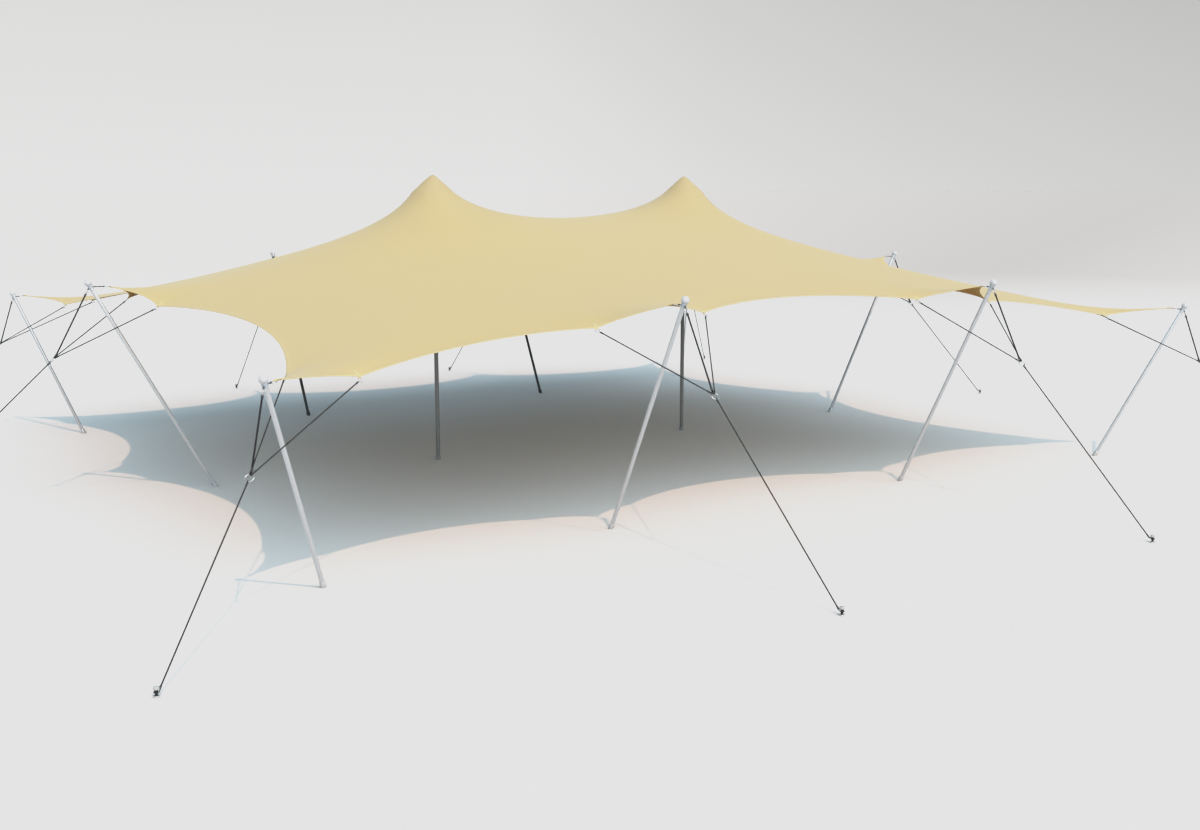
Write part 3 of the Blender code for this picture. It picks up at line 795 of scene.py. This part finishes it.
def tubeAlong(name, path, sizes, side, sides):
    # A rope or sleeve along a path, with one half width or, for each spot, two: along `side` and across it
    path = [Vector(spot) for spot in path]
    if isinstance(sizes, float):
        sizes = [(sizes, sizes)] * len(path)
    points, run, length = [], [], 0.0
    for k, spot in enumerate(path):
        before, after = path[max(k - 1, 0)], path[min(k + 1, len(path) - 1)]
        tangent = (after - before).normalized()
        across = (side - tangent * side.dot(tangent)).normalized()
        over = tangent.cross(across)
        length += (spot - before).length
        run.append(length)
        for turn in range(sides):
            angle = math.tau * turn / sides
            points.append(spot + across * math.cos(angle) * sizes[k][0] + over * math.sin(angle) * sizes[k][1])
    faces, flats = [], []
    for k in range(len(path) - 1):
        for turn in range(sides):
            here, there = k * sides, (k + 1) * sides
            following = (turn + 1) % sides
            faces.append((here + turn, here + following, there + following, there + turn))
            flats += [(turn / sides, run[k]), ((turn + 1) / sides, run[k])]
            flats += [((turn + 1) / sides, run[k + 1]), (turn / sides, run[k + 1])]
    last = (len(path) - 1) * sides
    faces += [tuple(range(sides - 1, -1, -1)), tuple(range(last, last + sides))]
    flats += [(turn / sides, run[0]) for turn in range(sides - 1, -1, -1)]
    flats += [(turn / sides, run[-1]) for turn in range(sides)]
    mesh = bpy.data.meshes.new(name)
    mesh.from_pydata(points, [], faces)
    mesh.uv_layers.new(name="wrap").data.foreach_set("uv", [value for flat in flats for value in flat])
    return linked(name, facedOut(mesh))


def copiedTo(master, name, quarter, finish, replaced):
    # A copy in one quarter of the tent, with a mesh of its own and its finish
    mesh = master.data.copy()
    mesh.name = name
    mesh.transform(Matrix.Diagonal((*quarter, 1, 1)))
    if quarter[0] * quarter[1] < 0:
        mesh.flip_normals()
    mesh.materials.append(finishes[finish])
    piece = linked(name, mesh)
    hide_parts(replaced)
    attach(piece, "root")
    return piece


# King poles

kingPlan = {
    "radius": 0.030,
    "foot": (0.035, 0.045),  # radius and height
    "cap": (0.060, 0.160),
    "joint": 1.96,  # height of the groove where the tube's two halves meet
    "top": canopyPlan["peak"] - canopyPlan["wall"] / 2 - seatGap,
}


def makeKing():
    plan = kingPlan
    radius, joint = plan["radius"], plan["joint"]
    footRadius, footHeight = plan["foot"]
    capRadius, capHeight = plan["cap"]
    capFoot = plan["top"] - capHeight
    steps = [(footHeight - 0.004, 1), (joint, 1), (joint + 0.0025, 0.955), (joint + 0.0065, 0.955)]
    steps += [(joint + 0.009, 1), (capFoot - 0.034, 1), (capFoot - seatGap, 1)]
    tube = turnedPiece("king_tube", steps, 40, 0.0008, 1, radius)
    steps = [(0.0, 0.97), (0.002, 1), (footHeight - 0.014, 1), (footHeight - 0.010, 0.94), (footHeight, 0.93)]
    foot = turnedPiece("king_foot", steps, 40, 0.0010, 2, footRadius)
    steps = [(0.0, radius * 1.22), (0.004, radius * 1.3), (0.045, radius * 1.3), (0.050, capRadius * 0.93)]
    steps += [(0.056, capRadius)]
    rounding = [(0.085, 1), (0.071, 0.90), (0.058, 0.70), (0.042, 0.46), (0.024, 0.26), (0.010, 0.14)]
    rounding += [(0, 0.03)]
    steps += [(capHeight - drop, capRadius * share) for drop, share in rounding]
    cap = placed(turnedPiece("king_cap", steps, 40), (0, 0, capFoot), (0, 0, 1), (1, 0, 0))
    masters = [(tube, "kingTube", "tube", "pole"), (foot, "kingShoe", "tube", "pole")]
    masters += [(cap, "kingCap", "cap", "cap")]
    for master, finish, slot, node in masters:
        placed(master, (canopyPlan["kingX"], 0, 0), (0, 0, 1), (1, 0, 0))
        for side, sign in (("left", -1), ("right", 1)):
            copiedTo(master, f"{master.name}_{side}", (sign, 1), finish, f"king_{node}_{side}")
        bpy.data.objects.remove(master)


makeKing()
print("king poles: made")


# Side poles: tube, shoe and head

polePlan = {
    "radius": 0.024,
    "shoe": (0.031, 0.060, 0.014),  # radius, length, taper
    "ferrule": (0.0262, 0.030),
    "ball": (0.0435, 0.006),  # radius, and how far its centre lies under the pole's head
    "ballNeck": (0.80, 0.0035, 0.006),  # where it is cut, against the radius; the neck's step and length
    "ballLine": (0.515, 0.0012, 0.0011),  # how low its parting line is, against the radius; border and depth
    "collar": (0.031, 0.042, 0.058),  # radius, length, middle under the pole's head
    "pin": 0.0065,
    "tipRing": 0.034,
    "ring": (0.024, 0.0045),
    "roundWire": 0.935,  # against the CAD ring's
    "ropeRingReach": 0.052,
}
facet = math.cos(math.pi / 8)  # the CAD rings have eight facets, and a round ring lies within them
up = Vector((0, 0, 1))


def poleFrame(place):
    # A pole's foot and head, its direction, the middle of its collar and a level direction across it
    foot, head = Vector(place["foot"]), Vector(place["head"])
    slope = (head - foot).normalized()
    return foot, head, slope, head - slope * polePlan["collar"][2], slope.cross(up).normalized()


def ropeHanger(place):
    # Where the lug of the rope ring leaves the collar, and its direction
    slope, collar = poleFrame(place)[2:4]
    aside = Vector(place["knot"]) - collar
    aside -= slope * aside.dot(slope)
    start = collar + aside.normalized() * polePlan["collar"][0] / 2
    return start, (Vector(place["knot"]) - start).normalized()


def hungRing(spot, hem, target, radius):
    # Where a ring hangs at this spot of the hem: its centre and plane, and where it is nearest the target
    wire = polePlan["ring"][1]
    spot, (normal, along) = Vector(spot), hem
    outward = target - spot
    outward -= along * outward.dot(along)
    outward.normalize()
    edge = spot + normal * math.copysign(canopyPlan["wall"] / 2, outward.dot(normal))
    centre = edge + outward * ((radius + wire) * facet + seatGap)
    toward = target - centre
    toward = (outward * toward.dot(outward) + along * toward.dot(along)).normalized()
    return {
        "spot": spot,
        "normal": normal,
        "along": along,
        "outward": outward,
        "plane": outward.cross(along),
        "centre": centre,
        "toward": toward,
    }


def roundRing(radius):
    # The round ring inside the CAD's faceted one: radius and wire
    wire = polePlan["ring"][1] * polePlan["roundWire"]
    return (radius + polePlan["ring"][1]) * facet - wire, wire


tipRing, smallRing = roundRing(polePlan["tipRing"]), roundRing(polePlan["ring"][0])


def fabricRing(name, hung, ring, bead):
    return placed(ringPiece(name, *ring, bead), hung["centre"], hung["plane"], hung["outward"])


def makePole(kind, place):
    plan = polePlan
    foot, head, slope, middle, level = poleFrame(place)
    tip = Vector(place["tip"])

    # Tube, from inside the shoe to the collar, with a ferrule at its top
    collarRadius, collarLength, collarDrop = plan["collar"]
    top = (head - foot).length - collarDrop - collarLength / 2 - seatGap
    radius, (ferruleRadius, ferruleLength) = plan["radius"], plan["ferrule"]
    neck = top - ferruleLength
    steps = [(0.050, radius), (neck - 0.010, radius), (neck - 0.006, radius * 0.97), (neck, radius * 0.97)]
    steps += [(neck, ferruleRadius), (top, ferruleRadius)]
    tube = placed(turnedPiece(f"tube_{kind}", steps, 36, 0.0009), foot, slope, up)

    # Shoe, cut off level with the ground
    shoeRadius, shoeLength, shoeTaper = plan["shoe"]
    steps = [(-0.05, shoeRadius), (0.012, shoeRadius), (0.014, shoeRadius * 0.965), (0.019, shoeRadius * 0.965)]
    steps += [(0.021, shoeRadius), (shoeLength - 0.006, shoeRadius), (shoeLength + 0.004, shoeRadius * 0.95)]
    steps += [(shoeLength + shoeTaper, radius * 1.03), (shoeLength + shoeTaper + 0.002, radius * 0.97)]
    shoe = placed(turnedPiece(f"shoe_{kind}", steps, 36, 0.0008), foot, slope, up)
    onlyThis(shoe)
    bpy.ops.object.mode_set(mode="EDIT")
    cutBelow(0.0)
    bpy.ops.object.mode_set(mode="OBJECT")

    # Ball: its underside is cut flat and drawn down into a neck, and a parting line runs round it
    deselect()
    ballRadius, ballDrop = plan["ball"]
    cut, neckStep, neckLength = plan["ballNeck"]
    lineDrop, lineBorder, lineDepth = plan["ballLine"]
    bpy.ops.mesh.primitive_uv_sphere_add(segments=48, ring_count=32, radius=ballRadius)
    ball = shaping(f"ball_{kind}")
    cutBelow(-ballRadius * cut)
    pick(ball, "FACE", lambda face: face.normal.z < -0.99)
    bpy.ops.mesh.inset(thickness=neckStep)
    bpy.ops.mesh.extrude_region_move(TRANSFORM_OT_translate={"value": (0, 0, -neckLength)})
    line = -ballRadius * lineDrop
    pick(ball, "FACE", lambda face: abs(face.calc_center_median().z - line) < 0.0019 and face.normal.z > -0.9)
    bpy.ops.mesh.inset(thickness=lineBorder, use_boundary=True)
    bpy.ops.transform.shrink_fatten(value=-lineDepth)
    ball = placed(wrapped(shaped(ball, 0.0006, 2, 30.0)), head - slope * ballDrop, slope, tip - head)

    # Collar with two lips
    steps = [(0, 0.90), (0.003, 1), (0.012, 1), (0.014, 0.93), (0.022, 0.93), (0.024, 1), (0.034, 1)]
    steps += [(0.037, 0.92), (collarLength, 0.85)]
    steps = [(height - (collarDrop + collarLength / 2), share) for height, share in steps]
    collar = turnedPiece(f"collar_{kind}", steps, 36, 0.0008, 2, collarRadius)
    placed(collar, head, slope, tip - head)

    # The pin to the fabric's ring and the lug of the rope ring
    hung = hungRing(tip, hems[kind]["tip"], middle, plan["tipRing"])
    joint = hung["centre"] + hung["toward"] * tipRing[0]
    reach = (joint - middle).length
    steps = [(0.020, 1), (collarRadius, 1), (collarRadius, 1.65), (collarRadius + 0.004, 1.65)]
    steps += [(collarRadius + 0.004, 1), (reach - 0.013, 1), (reach - 0.009, 1.45), (reach + 0.004, 1.45)]
    steps += [(reach + 0.0068, 1.05)]
    pin = turnedPiece(f"pin_{kind}", steps, 24, 0.0007, 2, plan["pin"])
    placed(pin, middle, joint - middle, hung["along"])
    lugStart, down = ropeHanger(place)
    reach = plan["ropeRingReach"] - smallRing[0]
    steps = [(0, 1), (0.018, 1), (0.018, 1.6), (0.0215, 1.6), (0.0215, 1), (reach - 0.010, 1)]
    steps += [(reach - 0.007, 1.4), (reach + 0.0035, 1.4), (reach + 0.006, 1)]
    lug = placed(turnedPiece(f"lug_{kind}", steps, 24, 0.0007, 2, plan["pin"]), lugStart, down, level)

    ropeRing = ringPiece(f"ropeRing_{kind}", *smallRing, 0.0007)
    placed(ropeRing, lugStart + down * plan["ropeRingReach"], down.cross(level), down)
    pieces = {"tube": tube, "shoe": shoe, "ball": ball, "collar": collar, "pins": joined([pin, lug])}
    pieces["headRings"] = joined([fabricRing(f"tipRing_{kind}", hung, tipRing, 0.0007), ropeRing])
    return pieces, hung


# Ropes, their rings, and the ground stakes

ropePlan = {
    "head": 0.0090,
    "side": 0.0064,
    "guy": 0.0067,
    "bridleRing": (0.0425, 0.0052),
    "knob": (0.030, 1.38),  # length, and its width against the rope's
    "steelEye": 0.0038,
    "softEye": 0.62,  # of the rope
    "stakeLink": (0.031, 0.042),  # the CAD link's radius and height
    "stakeNeck": 0.015,
    "throat": (2.6, 1.02),  # an eye's length past its wire and its half width there, against the strand
    "guyThroat": 0.014,  # from the stake's link to the sleeve of the guy rope
    "guyWaist": (0.66, 0.62),  # where the guy rope's eye narrows, and to what share
    "guyLean": 0.30,  # how far its eye goes past half a turn at each end, in radians
    "arcSteps": 18,
    "runStep": 0.25,
    "play": 0.0004,  # between an eye and what it goes round
    "hidden": 0.010,  # how far the rope's own ends reach into its sleeves
}


def arc(centre, one, other, reach, lean):
    # Half a turn from one direction over the other one, and a little more at both ends
    steps = ropePlan["arcSteps"]
    angles = [-lean + (math.pi + 2 * lean) * step / steps for step in range(steps + 1)]
    return [centre + one * reach * math.cos(angle) + other * reach * math.sin(angle) for angle in angles]


def loopRound(centre, wire, strand, away, side):
    # An eye round a wire: out from the throat, round the far side of the wire, and back
    across = side.cross(away).normalized()
    reach = wire + strand + ropePlan["play"]
    length, gap = ropePlan["throat"]
    throat = reach + strand * length
    lean = math.asin((reach - strand) / throat) * 0.8
    start, end = [centre + away * throat + across * strand * share for share in (gap, -gap)]
    return [start, *arc(centre, across, -away, reach, lean), end], throat


def ropeKnob(name, throat, rope, away, side, strand):
    # The short sleeve that closes an eye, at its throat wide enough for both strands
    length, bulk = ropePlan["knob"]
    wide = max(bulk, 2.15 * strand / rope)
    steps = [(-0.005, bulk * 0.7, wide * 0.8), (-0.003, bulk * 0.95, wide * 0.98), (0.004, bulk, wide)]
    steps += [(0.45 * length, bulk, (bulk + wide) / 2), (0.80 * length, bulk, bulk)]
    steps += [(length - 0.003, bulk * 0.9, bulk * 0.9), (length, 1.02, 1.02)]
    spots = [throat + away * height for height, thin, wide in steps]
    sizes = [(thin * rope, wide * rope) for height, thin, wide in steps]
    return tubeAlong(name, spots, sizes, side, 20)


def ropeEnd(name, end, target, rope):
    # The eye and sleeve at one end, which is a spot on a ring, the ring's wire, its direction, and the strand
    spot, wire, wireWay, strand = end
    away = (target - spot).normalized()
    path, throat = loopRound(spot, wire, strand, away, wireWay)
    eye = tubeAlong(name + "_eye", path, strand, wireWay, 12)
    knob = ropeKnob(name + "_knob", spot + away * throat, rope, away, wireWay, strand)
    return eye, knob, throat + ropePlan["hidden"]


def stretchedRope(name, start, end, rope, side, spare):
    # The straight run between two ends, its own ends hidden in the sleeves
    away = (end - start).normalized()
    start, end = start + away * spare[0], end - away * spare[1]
    count = max(2, int((end - start).length / ropePlan["runStep"]))
    return tubeAlong(name, [start.lerp(end, step / count) for step in range(count + 1)], rope, side, 14)


def ropeBetween(name, start, end, rope, side):
    # A rope from ring to ring: its upper eye, its other pieces and its sleeves
    topEye, topKnob, first = ropeEnd(name + "_top", start, end[0], rope)
    lowEye, lowKnob, second = ropeEnd(name + "_low", end, start[0], rope)
    run = stretchedRope(name, start[0], end[0], rope, side, (first, second))
    return topEye, [lowEye, run], [topKnob, lowKnob]


def makeRopes(kind, place, hemsHere):
    plan = ropePlan
    knot, stake = Vector(place["knot"]), Vector(place["stake"])
    outward = Vector((stake.x - knot.x, stake.y - knot.y, 0)).normalized()
    level = outward.cross(up)
    linkRadius, linkHeight = plan["stakeLink"]
    neck = stake + up * linkHeight
    lowCentre = neck - outward * ((linkRadius - polePlan["ring"][1]) * facet - plan["stakeNeck"] - seatGap)
    lowEnd = lowCentre - outward * linkRadius * facet
    bridleNormal = (lowEnd - knot).normalized().cross(level).normalized()
    bridleRadius, bridleWire = plan["bridleRing"]
    radius, wire = smallRing
    bridle = ringPiece(f"bridleRing_{kind}", bridleRadius, bridleWire, 0.0009)
    placed(bridle, knot, bridleNormal, level)

    def onBridle(target, rope):
        # The end on the bridle ring of a rope that leaves it toward this target
        flat = target - knot
        flat -= bridleNormal * flat.dot(bridleNormal)
        flat.normalize()
        return knot + flat * bridleRadius, bridleWire, bridleNormal.cross(flat), rope * plan["softEye"]

    # The thick rope, with a steel eye through the ring of the pole's head
    lugStart, down = ropeHanger(place)
    low = lugStart + down * (polePlan["ropeRingReach"] + radius)
    start, end = (low, wire, poleFrame(place)[4], plan["steelEye"]), onBridle(low, plan["head"])
    eye, thick, sleeves = ropeBetween(f"head_{kind}", start, end, plan["head"], level)
    rings, ropes = [bridle, eye], []

    # The two ropes from the eyes of the hem
    hungEyes = [hungRing(spot, hem, knot, polePlan["ring"][0]) for spot, hem in zip(place["eyes"], hemsHere)]
    for number, hung in enumerate(hungEyes):
        rings.append(fabricRing(f"eyeRing_{kind}{number}", hung, smallRing, 0.0006))
        spot = hung["centre"] + hung["toward"] * radius
        wireWay = hung["plane"].cross(hung["toward"]).normalized()
        start, end = (spot, wire, wireWay, plan["steelEye"]), onBridle(spot, plan["side"])
        eye, pieces, knobs = ropeBetween(f"side_{kind}{number}", start, end, plan["side"], level)
        rings.append(eye)
        ropes += pieces
        sleeves += knobs

    # The guy rope, with an eye round the neck of the stake
    rope, strand = plan["guy"], plan["guy"] * plan["softEye"]
    start = onBridle(lowEnd, rope)
    eye, knob, first = ropeEnd(f"guyTop_{kind}", start, lowEnd, rope)
    away = (lowEnd - start[0]).normalized()
    throat = lowEnd - away * plan["guyThroat"]
    hold = plan["stakeNeck"] + strand + plan["play"]
    waistAt, share = plan["guyWaist"]
    waist, narrow, gap = neck.lerp(throat, waistAt), level * hold * share, level * strand * plan["throat"][1]
    bend = arc(neck, level, outward, hold, plan["guyLean"])
    path = [throat + gap, waist + narrow, *bend, waist - narrow, throat - gap]
    foot = tubeAlong(f"guyFoot_{kind}", path, strand, up, 12)
    run = stretchedRope(f"guy_{kind}", start[0], throat, rope, level, (first, plan["hidden"]))
    ropes += [eye, foot, run]
    sleeves += [knob, ropeKnob(f"guyLow_{kind}", throat, rope, -away, bridleNormal, strand)]
    groups = {"ropeRings": rings, "headRope": thick, "ropes": ropes, "sleeves": sleeves}
    return {label: joined(pieces) for label, pieces in groups.items()}, hungEyes


stakePlan = {  # each profile from the bottom up, height and radius, but the cap's heights go down from the top
    "height": 0.088,
    "dish": (
        (0.0, 0.0286), (0.0035, 0.0290), (0.010, 0.0284), (0.0145, 0.0245), (0.0140, 0.0205), (0.0105, 0.0165),
        (0.0095, 0.0100),
    ),
    "core": (
        (0.006, 0.0098), (0.024, 0.0110), (0.031, 0.0136), (0.034, 0.0149), (0.050, 0.0149), (0.053, 0.0156),
        (0.0595, 0.0159), (0.0640, 0.0159),
    ),
    "cap": (
        (0.026, 0.0215), (0.0245, 0.0240), (0.021, 0.0255), (0.008, 0.0255), (0.003, 0.0232), (0.0008, 0.0180),
        (0.0, 0.0120), (0.0020, 0.0095),
    ),
}


def makeStake(kind, place):
    plan, stake = stakePlan, Vector(place["stake"])
    dish = turnedPiece(f"dish_{kind}", plan["dish"], 36, 0.0006)
    steps = [(plan["height"] - drop, radius) for drop, radius in plan["cap"]]
    cap = turnedPiece(f"cap_{kind}", steps, 36, 0.0006)
    core = turnedPiece(f"core_{kind}", plan["core"], 28, 0.0006, 1)
    pieces = {"stakeMetal": joined([dish, cap]), "stakeCore": core}
    return {label: placed(piece, stake, up, stake - Vector(place["knot"])) for label, piece in pieces.items()}


# Webbing tabs: each goes from the top of the hem round a ring's wire and back under the hem

tabPlan = {
    "tipWidth": 0.036,
    "eyeWidth": 0.024,
    "sewn": (0.004, 0.085),  # from the hem's edge to its seam, and the seam's length
    "thick": 0.0016,
    "turn": 112,  # degrees that it goes round the wire to each side
    "cloth": 0.08,  # how far above the hem the sheet is looked for
}


def makeTab(name, hung, radius, wire, width):
    plan = tabPlan
    spot, normal, along = hung["spot"], hung["normal"], hung["along"]
    outward = (hung["outward"] - normal * hung["outward"].dot(normal)).normalized()
    seam, sewn = plan["sewn"]
    turn, aboveHem = plan["turn"], normal * plan["cloth"]
    lift = canopyPlan["hem"] / 2 + plan["thick"] / 2 + 0.0002
    hug = wire + plan["thick"] / 2 + 0.0003
    columns, sewnSteps, wireSteps = 9, 8, 12
    asides = [(column / (columns - 1) - 0.5) * width for column in range(columns)]
    rows = []
    for aside in asides:
        above, under = [], []
        for step in range(sewnSteps):
            inward = sewn * (1 - step / sewnSteps) + seam
            hit = sheetTree.ray_cast(spot - outward * inward + along * aside + aboveHem, -normal, 0.2)[0]
            level = (hit - spot).dot(normal) - canopyPlan["hem"] / 2 if hit else 0.0
            above.append((-inward, level + lift))
            under.append((-inward, level - lift))
        back = math.sqrt(radius ** 2 - aside ** 2)
        wireSpot = hung["centre"] - hung["outward"] * back + along * aside - spot
        wireOut, wireUp = wireSpot.dot(outward), wireSpot.dot(normal)
        angles = [math.radians(turn - 2 * turn * step / wireSteps) for step in range(wireSteps + 1)]
        bend = [(wireOut + hug * math.cos(angle), wireUp + hug * math.sin(angle)) for angle in angles]
        line = above + bend + under[::-1]
        rows.append([spot + outward * out + normal * height + along * aside for out, height in line])
    count = len(rows[0])
    faces = [
        (c * count + k, (c + 1) * count + k, (c + 1) * count + k + 1, c * count + k + 1)
        for c in range(columns - 1)
        for k in range(count - 1)
    ]
    mesh = bpy.data.meshes.new(name)
    mesh.from_pydata([point for row in rows for point in row], [], faces)
    runs, middle = [0.0], rows[columns // 2]
    for before, after in zip(middle, middle[1:]):
        runs.append(runs[-1] + (after - before).length)
    layer = mesh.uv_layers.new(name="wrap")
    for loop in mesh.loops:
        column, k = divmod(loop.vertex_index, count)
        layer.data[loop.index].uv = (asides[column], runs[k])
    piece = linked(name, mesh)
    onlyThis(piece)
    wall = piece.modifiers.new("wall", "SOLIDIFY")
    wall.thickness = plan["thick"]
    wall.offset = 0.0
    bpy.ops.object.modifier_apply(modifier="wall")
    bpy.ops.object.mode_set(mode="EDIT")
    return shaped(piece, smooth=40.0)


# One of each kind of side pole, with its ropes, stake and tabs, and its copies in all the places

pieceKinds = {  # finish, slot, and the CAD piece
    "tube": ("tube", "tube", "side_pole"),
    "shoe": ("shoe", "tube", "side_pole"),
    "ball": ("ball", "head", "pole_head"),
    "collar": ("collar", "head", "pole_head"),
    "pins": ("pin", "head", "pole_head"),
    "headRings": ("ring", "head", "pole_head"),
    "ropeRings": ("ring", "head", "guy_set"),
    "headRope": ("headRope", "rope", "guy_set"),
    "ropes": ("rope", "rope", "guy_set"),
    "sleeves": ("sleeve", "rope", "guy_set"),
    "stakeMetal": ("stakeCap", "stake", "ground_stake"),
    "stakeCore": ("stakeCore", "stake", "ground_stake"),
    "tabs": ("webbing", "cloth", "canopy"),
}
paintedShadeTubes = {  # poles painted darker: painted shade where the canopy shades them
    "back_left": "shadeBlackTube",
    "back_right": "shadeBlackTube",
    "back_left_corner": "shadeGreyTube",
    "back_right_corner": "shadeGreyTube",
    "right_end": "shadeGreyTube",
}

topFaces = [tuple(face.vertices) for face in canopy.data.polygons if face.material_index == 0]
sheetTree = BVHTree.FromPolygons([vertex.co for vertex in canopy.data.vertices], topFaces)
kindMasters = {}
for kind, place in stations.items():
    masters, hungTip = makePole(kind, place)
    ropeMasters, hungEyes = makeRopes(kind, place, hems[kind]["eyes"])
    tabs = [makeTab(f"tab_{kind}", hungTip, *tipRing, tabPlan["tipWidth"])]
    for number, hung in enumerate(hungEyes):
        tabs.append(makeTab(f"tab_{kind}{number}", hung, *smallRing, tabPlan["eyeWidth"]))
    kindMasters[kind] = {**masters, **ropeMasters, **makeStake(kind, place), "tabs": joined(tabs)}
    print("side poles:", kind, "modelled")
for name, kind, quarter in sidePoles:
    for label, master in kindMasters[kind].items():
        finish, slot, node = pieceKinds[label]
        # Poles in the canopy's shade get darker tubes and shoes: painted shade
        if label in ("tube", "shoe"):
            finish = paintedShadeTubes.get(name, finish)
        replaced = node if node == "canopy" else f"{node}_{name}"
        piece = copiedTo(master, f"{label}_{name}", quarter, finish, replaced)
        label == "tabs"
for masters in kindMasters.values():
    for master in masters.values():
        bpy.data.objects.remove(master)
print("side poles: copied to", len(sidePoles), "places")


# Floor and light

dayPlan = {
    "floor": (0.600, 0.603, 0.603),
    "floorFar": (0.585, 0.564, 0.550),  # far from the tent, before the drop below
    "skyEven": (0.31, 0.40, 0.455),
    "skySides": 0.42,  # so much less of it at the tent's ends
    "skyBack": (0.50, 0.85, 1.08),
    "skyFront": (3.50, 3.95, 4.15),  # the bright side of the sky, behind the camera
    "skyFrontFrom": (0.11, 0.33),  # it begins and is full at these heights, as shares of straight up
    "skyLow": (0.215, 0.248, 0.255),  # a glow near the ground, which reaches under the sheet
    "skyLowUpTo": (0.28, 0.40),  # it is full below the first height and ends at the second
    "skyLowMore": (2.2, 1.8),  # so much more of it before the tent, and behind it
    "sun": (0.50, 0.31, 0.215),
    "sunPower": math.pi / 0.829,
    "sunWay": (0.078, 0.67, -1.0),
    "sunSize": 0.8,  # degrees
    "backdrop": (1.0, 0.993, 0.985),
    "backdropFade": (0.85, 0.77),  # at the horizon, and how much less straight up
    "backdropShade": 0.27,  # so much less on its shady side
    "shadyWay": (0.8348, -0.5506, 0.0),  # the backdrop darkens toward this side, and toward the back
    "shadyBack": (0.5506, 0.8348, 0.0),
    "shadyStops": ((0, 0.02), (0.47, 0.12), (0.54, 0.42), (0.61, 0.62), (0.70, 0.82), (0.86, 0.30), (1, 0)),
    "floorFade": (12.0, 46.0),  # the floor darkens from the first distance from the tent to the second
    "floorPaintedShade": (0.060, 0.299),  # painted shade: by this share all round, and by so much more on the shady side
    "unevenness": 0.005,
    "floorSize": 3000,
}


def shadySide(way):
    # How shady the backdrop is in this direction, from 0 to 1
    aside, ahead = [way.vector("DOT_PRODUCT", dayPlan[name], out=1) for name in ("shadyWay", "shadyBack")]
    stops = [(place, (shade, shade, shade)) for place, shade in dayPlan["shadyStops"]]
    ramp = way.node("ShaderNodeValToRGB", {"stops": stops}, {0: aside * 0.5 + 0.5})
    return ramp * (ahead * 4.0).held()


def floorFinish():
    material, start = newFinish("paleFloor", Roughness=0.95, Specular_IOR_Level=0.0)
    place = start.coordinates("Object")
    near, far = dayPlan["floorFade"]
    allRound, shadyMore = dayPlan["floorPaintedShade"]
    fade = ((place.vector("LENGTH", out=1) - near) / (far - near)).held()
    # Painted shade: the floor is painted darker far from the tent, most on the shady side
    shade = (shadySide(place.vector("NORMALIZE")) * shadyMore + allRound) * fade
    shares = (1 - dayPlan["unevenness"], 1 + dayPlan["unevenness"])
    darker, paler = [[value * share for value in dayPlan["floor"]] for share in shares]
    colour = place.noise(0.08, 3.0).blend(darker, paler)
    colour = fade.blend(colour, dayPlan["floorFar"])
    return fed(material, Base_Color=shade.blend(colour, (0.0, 0.0, 0.0)))


deselect()
bpy.ops.mesh.primitive_grid_add(x_subdivisions=8, y_subdivisions=8, size=dayPlan["floorSize"])
floor = shaping("floor")
bpy.ops.object.mode_set(mode="OBJECT")
floor.data.materials.append(floorFinish())

world = bpy.data.worlds.new("daylight")
scene.world = world
world.use_nodes = True
world.node_tree.nodes.clear()
start = Signal(world.node_tree)
skyWay = start.coordinates("Generated")
x, y, z = skyWay.split()
z = z.most(0.0)
before, behind = (0.0 - y).most(0.0), y.most(0.0)
low, high = dayPlan["skyFrontFrom"]
full, end = dayPlan["skyLowUpTo"]
moreBefore, moreBehind = dayPlan["skyLowMore"]
sky = (before * ((z - low) / (high - low)).held()).strengthOf(dayPlan["skyFront"])
for name, share in (
    ("skyEven", 1.0 - abs(x) * dayPlan["skySides"]),
    ("skyBack", behind * y),
    ("skyLow", ((end - z) / (end - full)).held() * (1.0 + before * moreBefore + behind * moreBehind)),
):
    sky = sky.vector("ADD", share.strengthOf(dayPlan[name]))
lighting = start.node("ShaderNodeBackground", {}, {"Color": sky})
level, drop = dayPlan["backdropFade"]
seenTone = level - drop * z - dayPlan["backdropShade"] * shadySide(skyWay)
seen = start.node("ShaderNodeBackground", {}, {"Color": (*dayPlan["backdrop"], 1.0), "Strength": seenTone})
cameraRay = start.node("ShaderNodeLightPath", out="Is Camera Ray")
both = start.node("ShaderNodeMixShader", {}, {0: cameraRay, 1: lighting, 2: seen})
start.node("ShaderNodeOutputWorld", {}, {"Surface": both})

sun = linked("sun", bpy.data.lights.new("sun", "SUN"))
strength = max(dayPlan["sun"])
sun.data.color = [value / strength for value in dayPlan["sun"]]
sun.data.energy = strength * dayPlan["sunPower"]
sun.data.angle = math.radians(dayPlan["sunSize"])
sun.rotation_euler = Vector(dayPlan["sunWay"]).to_track_quat("-Z", "Y").to_euler()
print("floor and light: set")
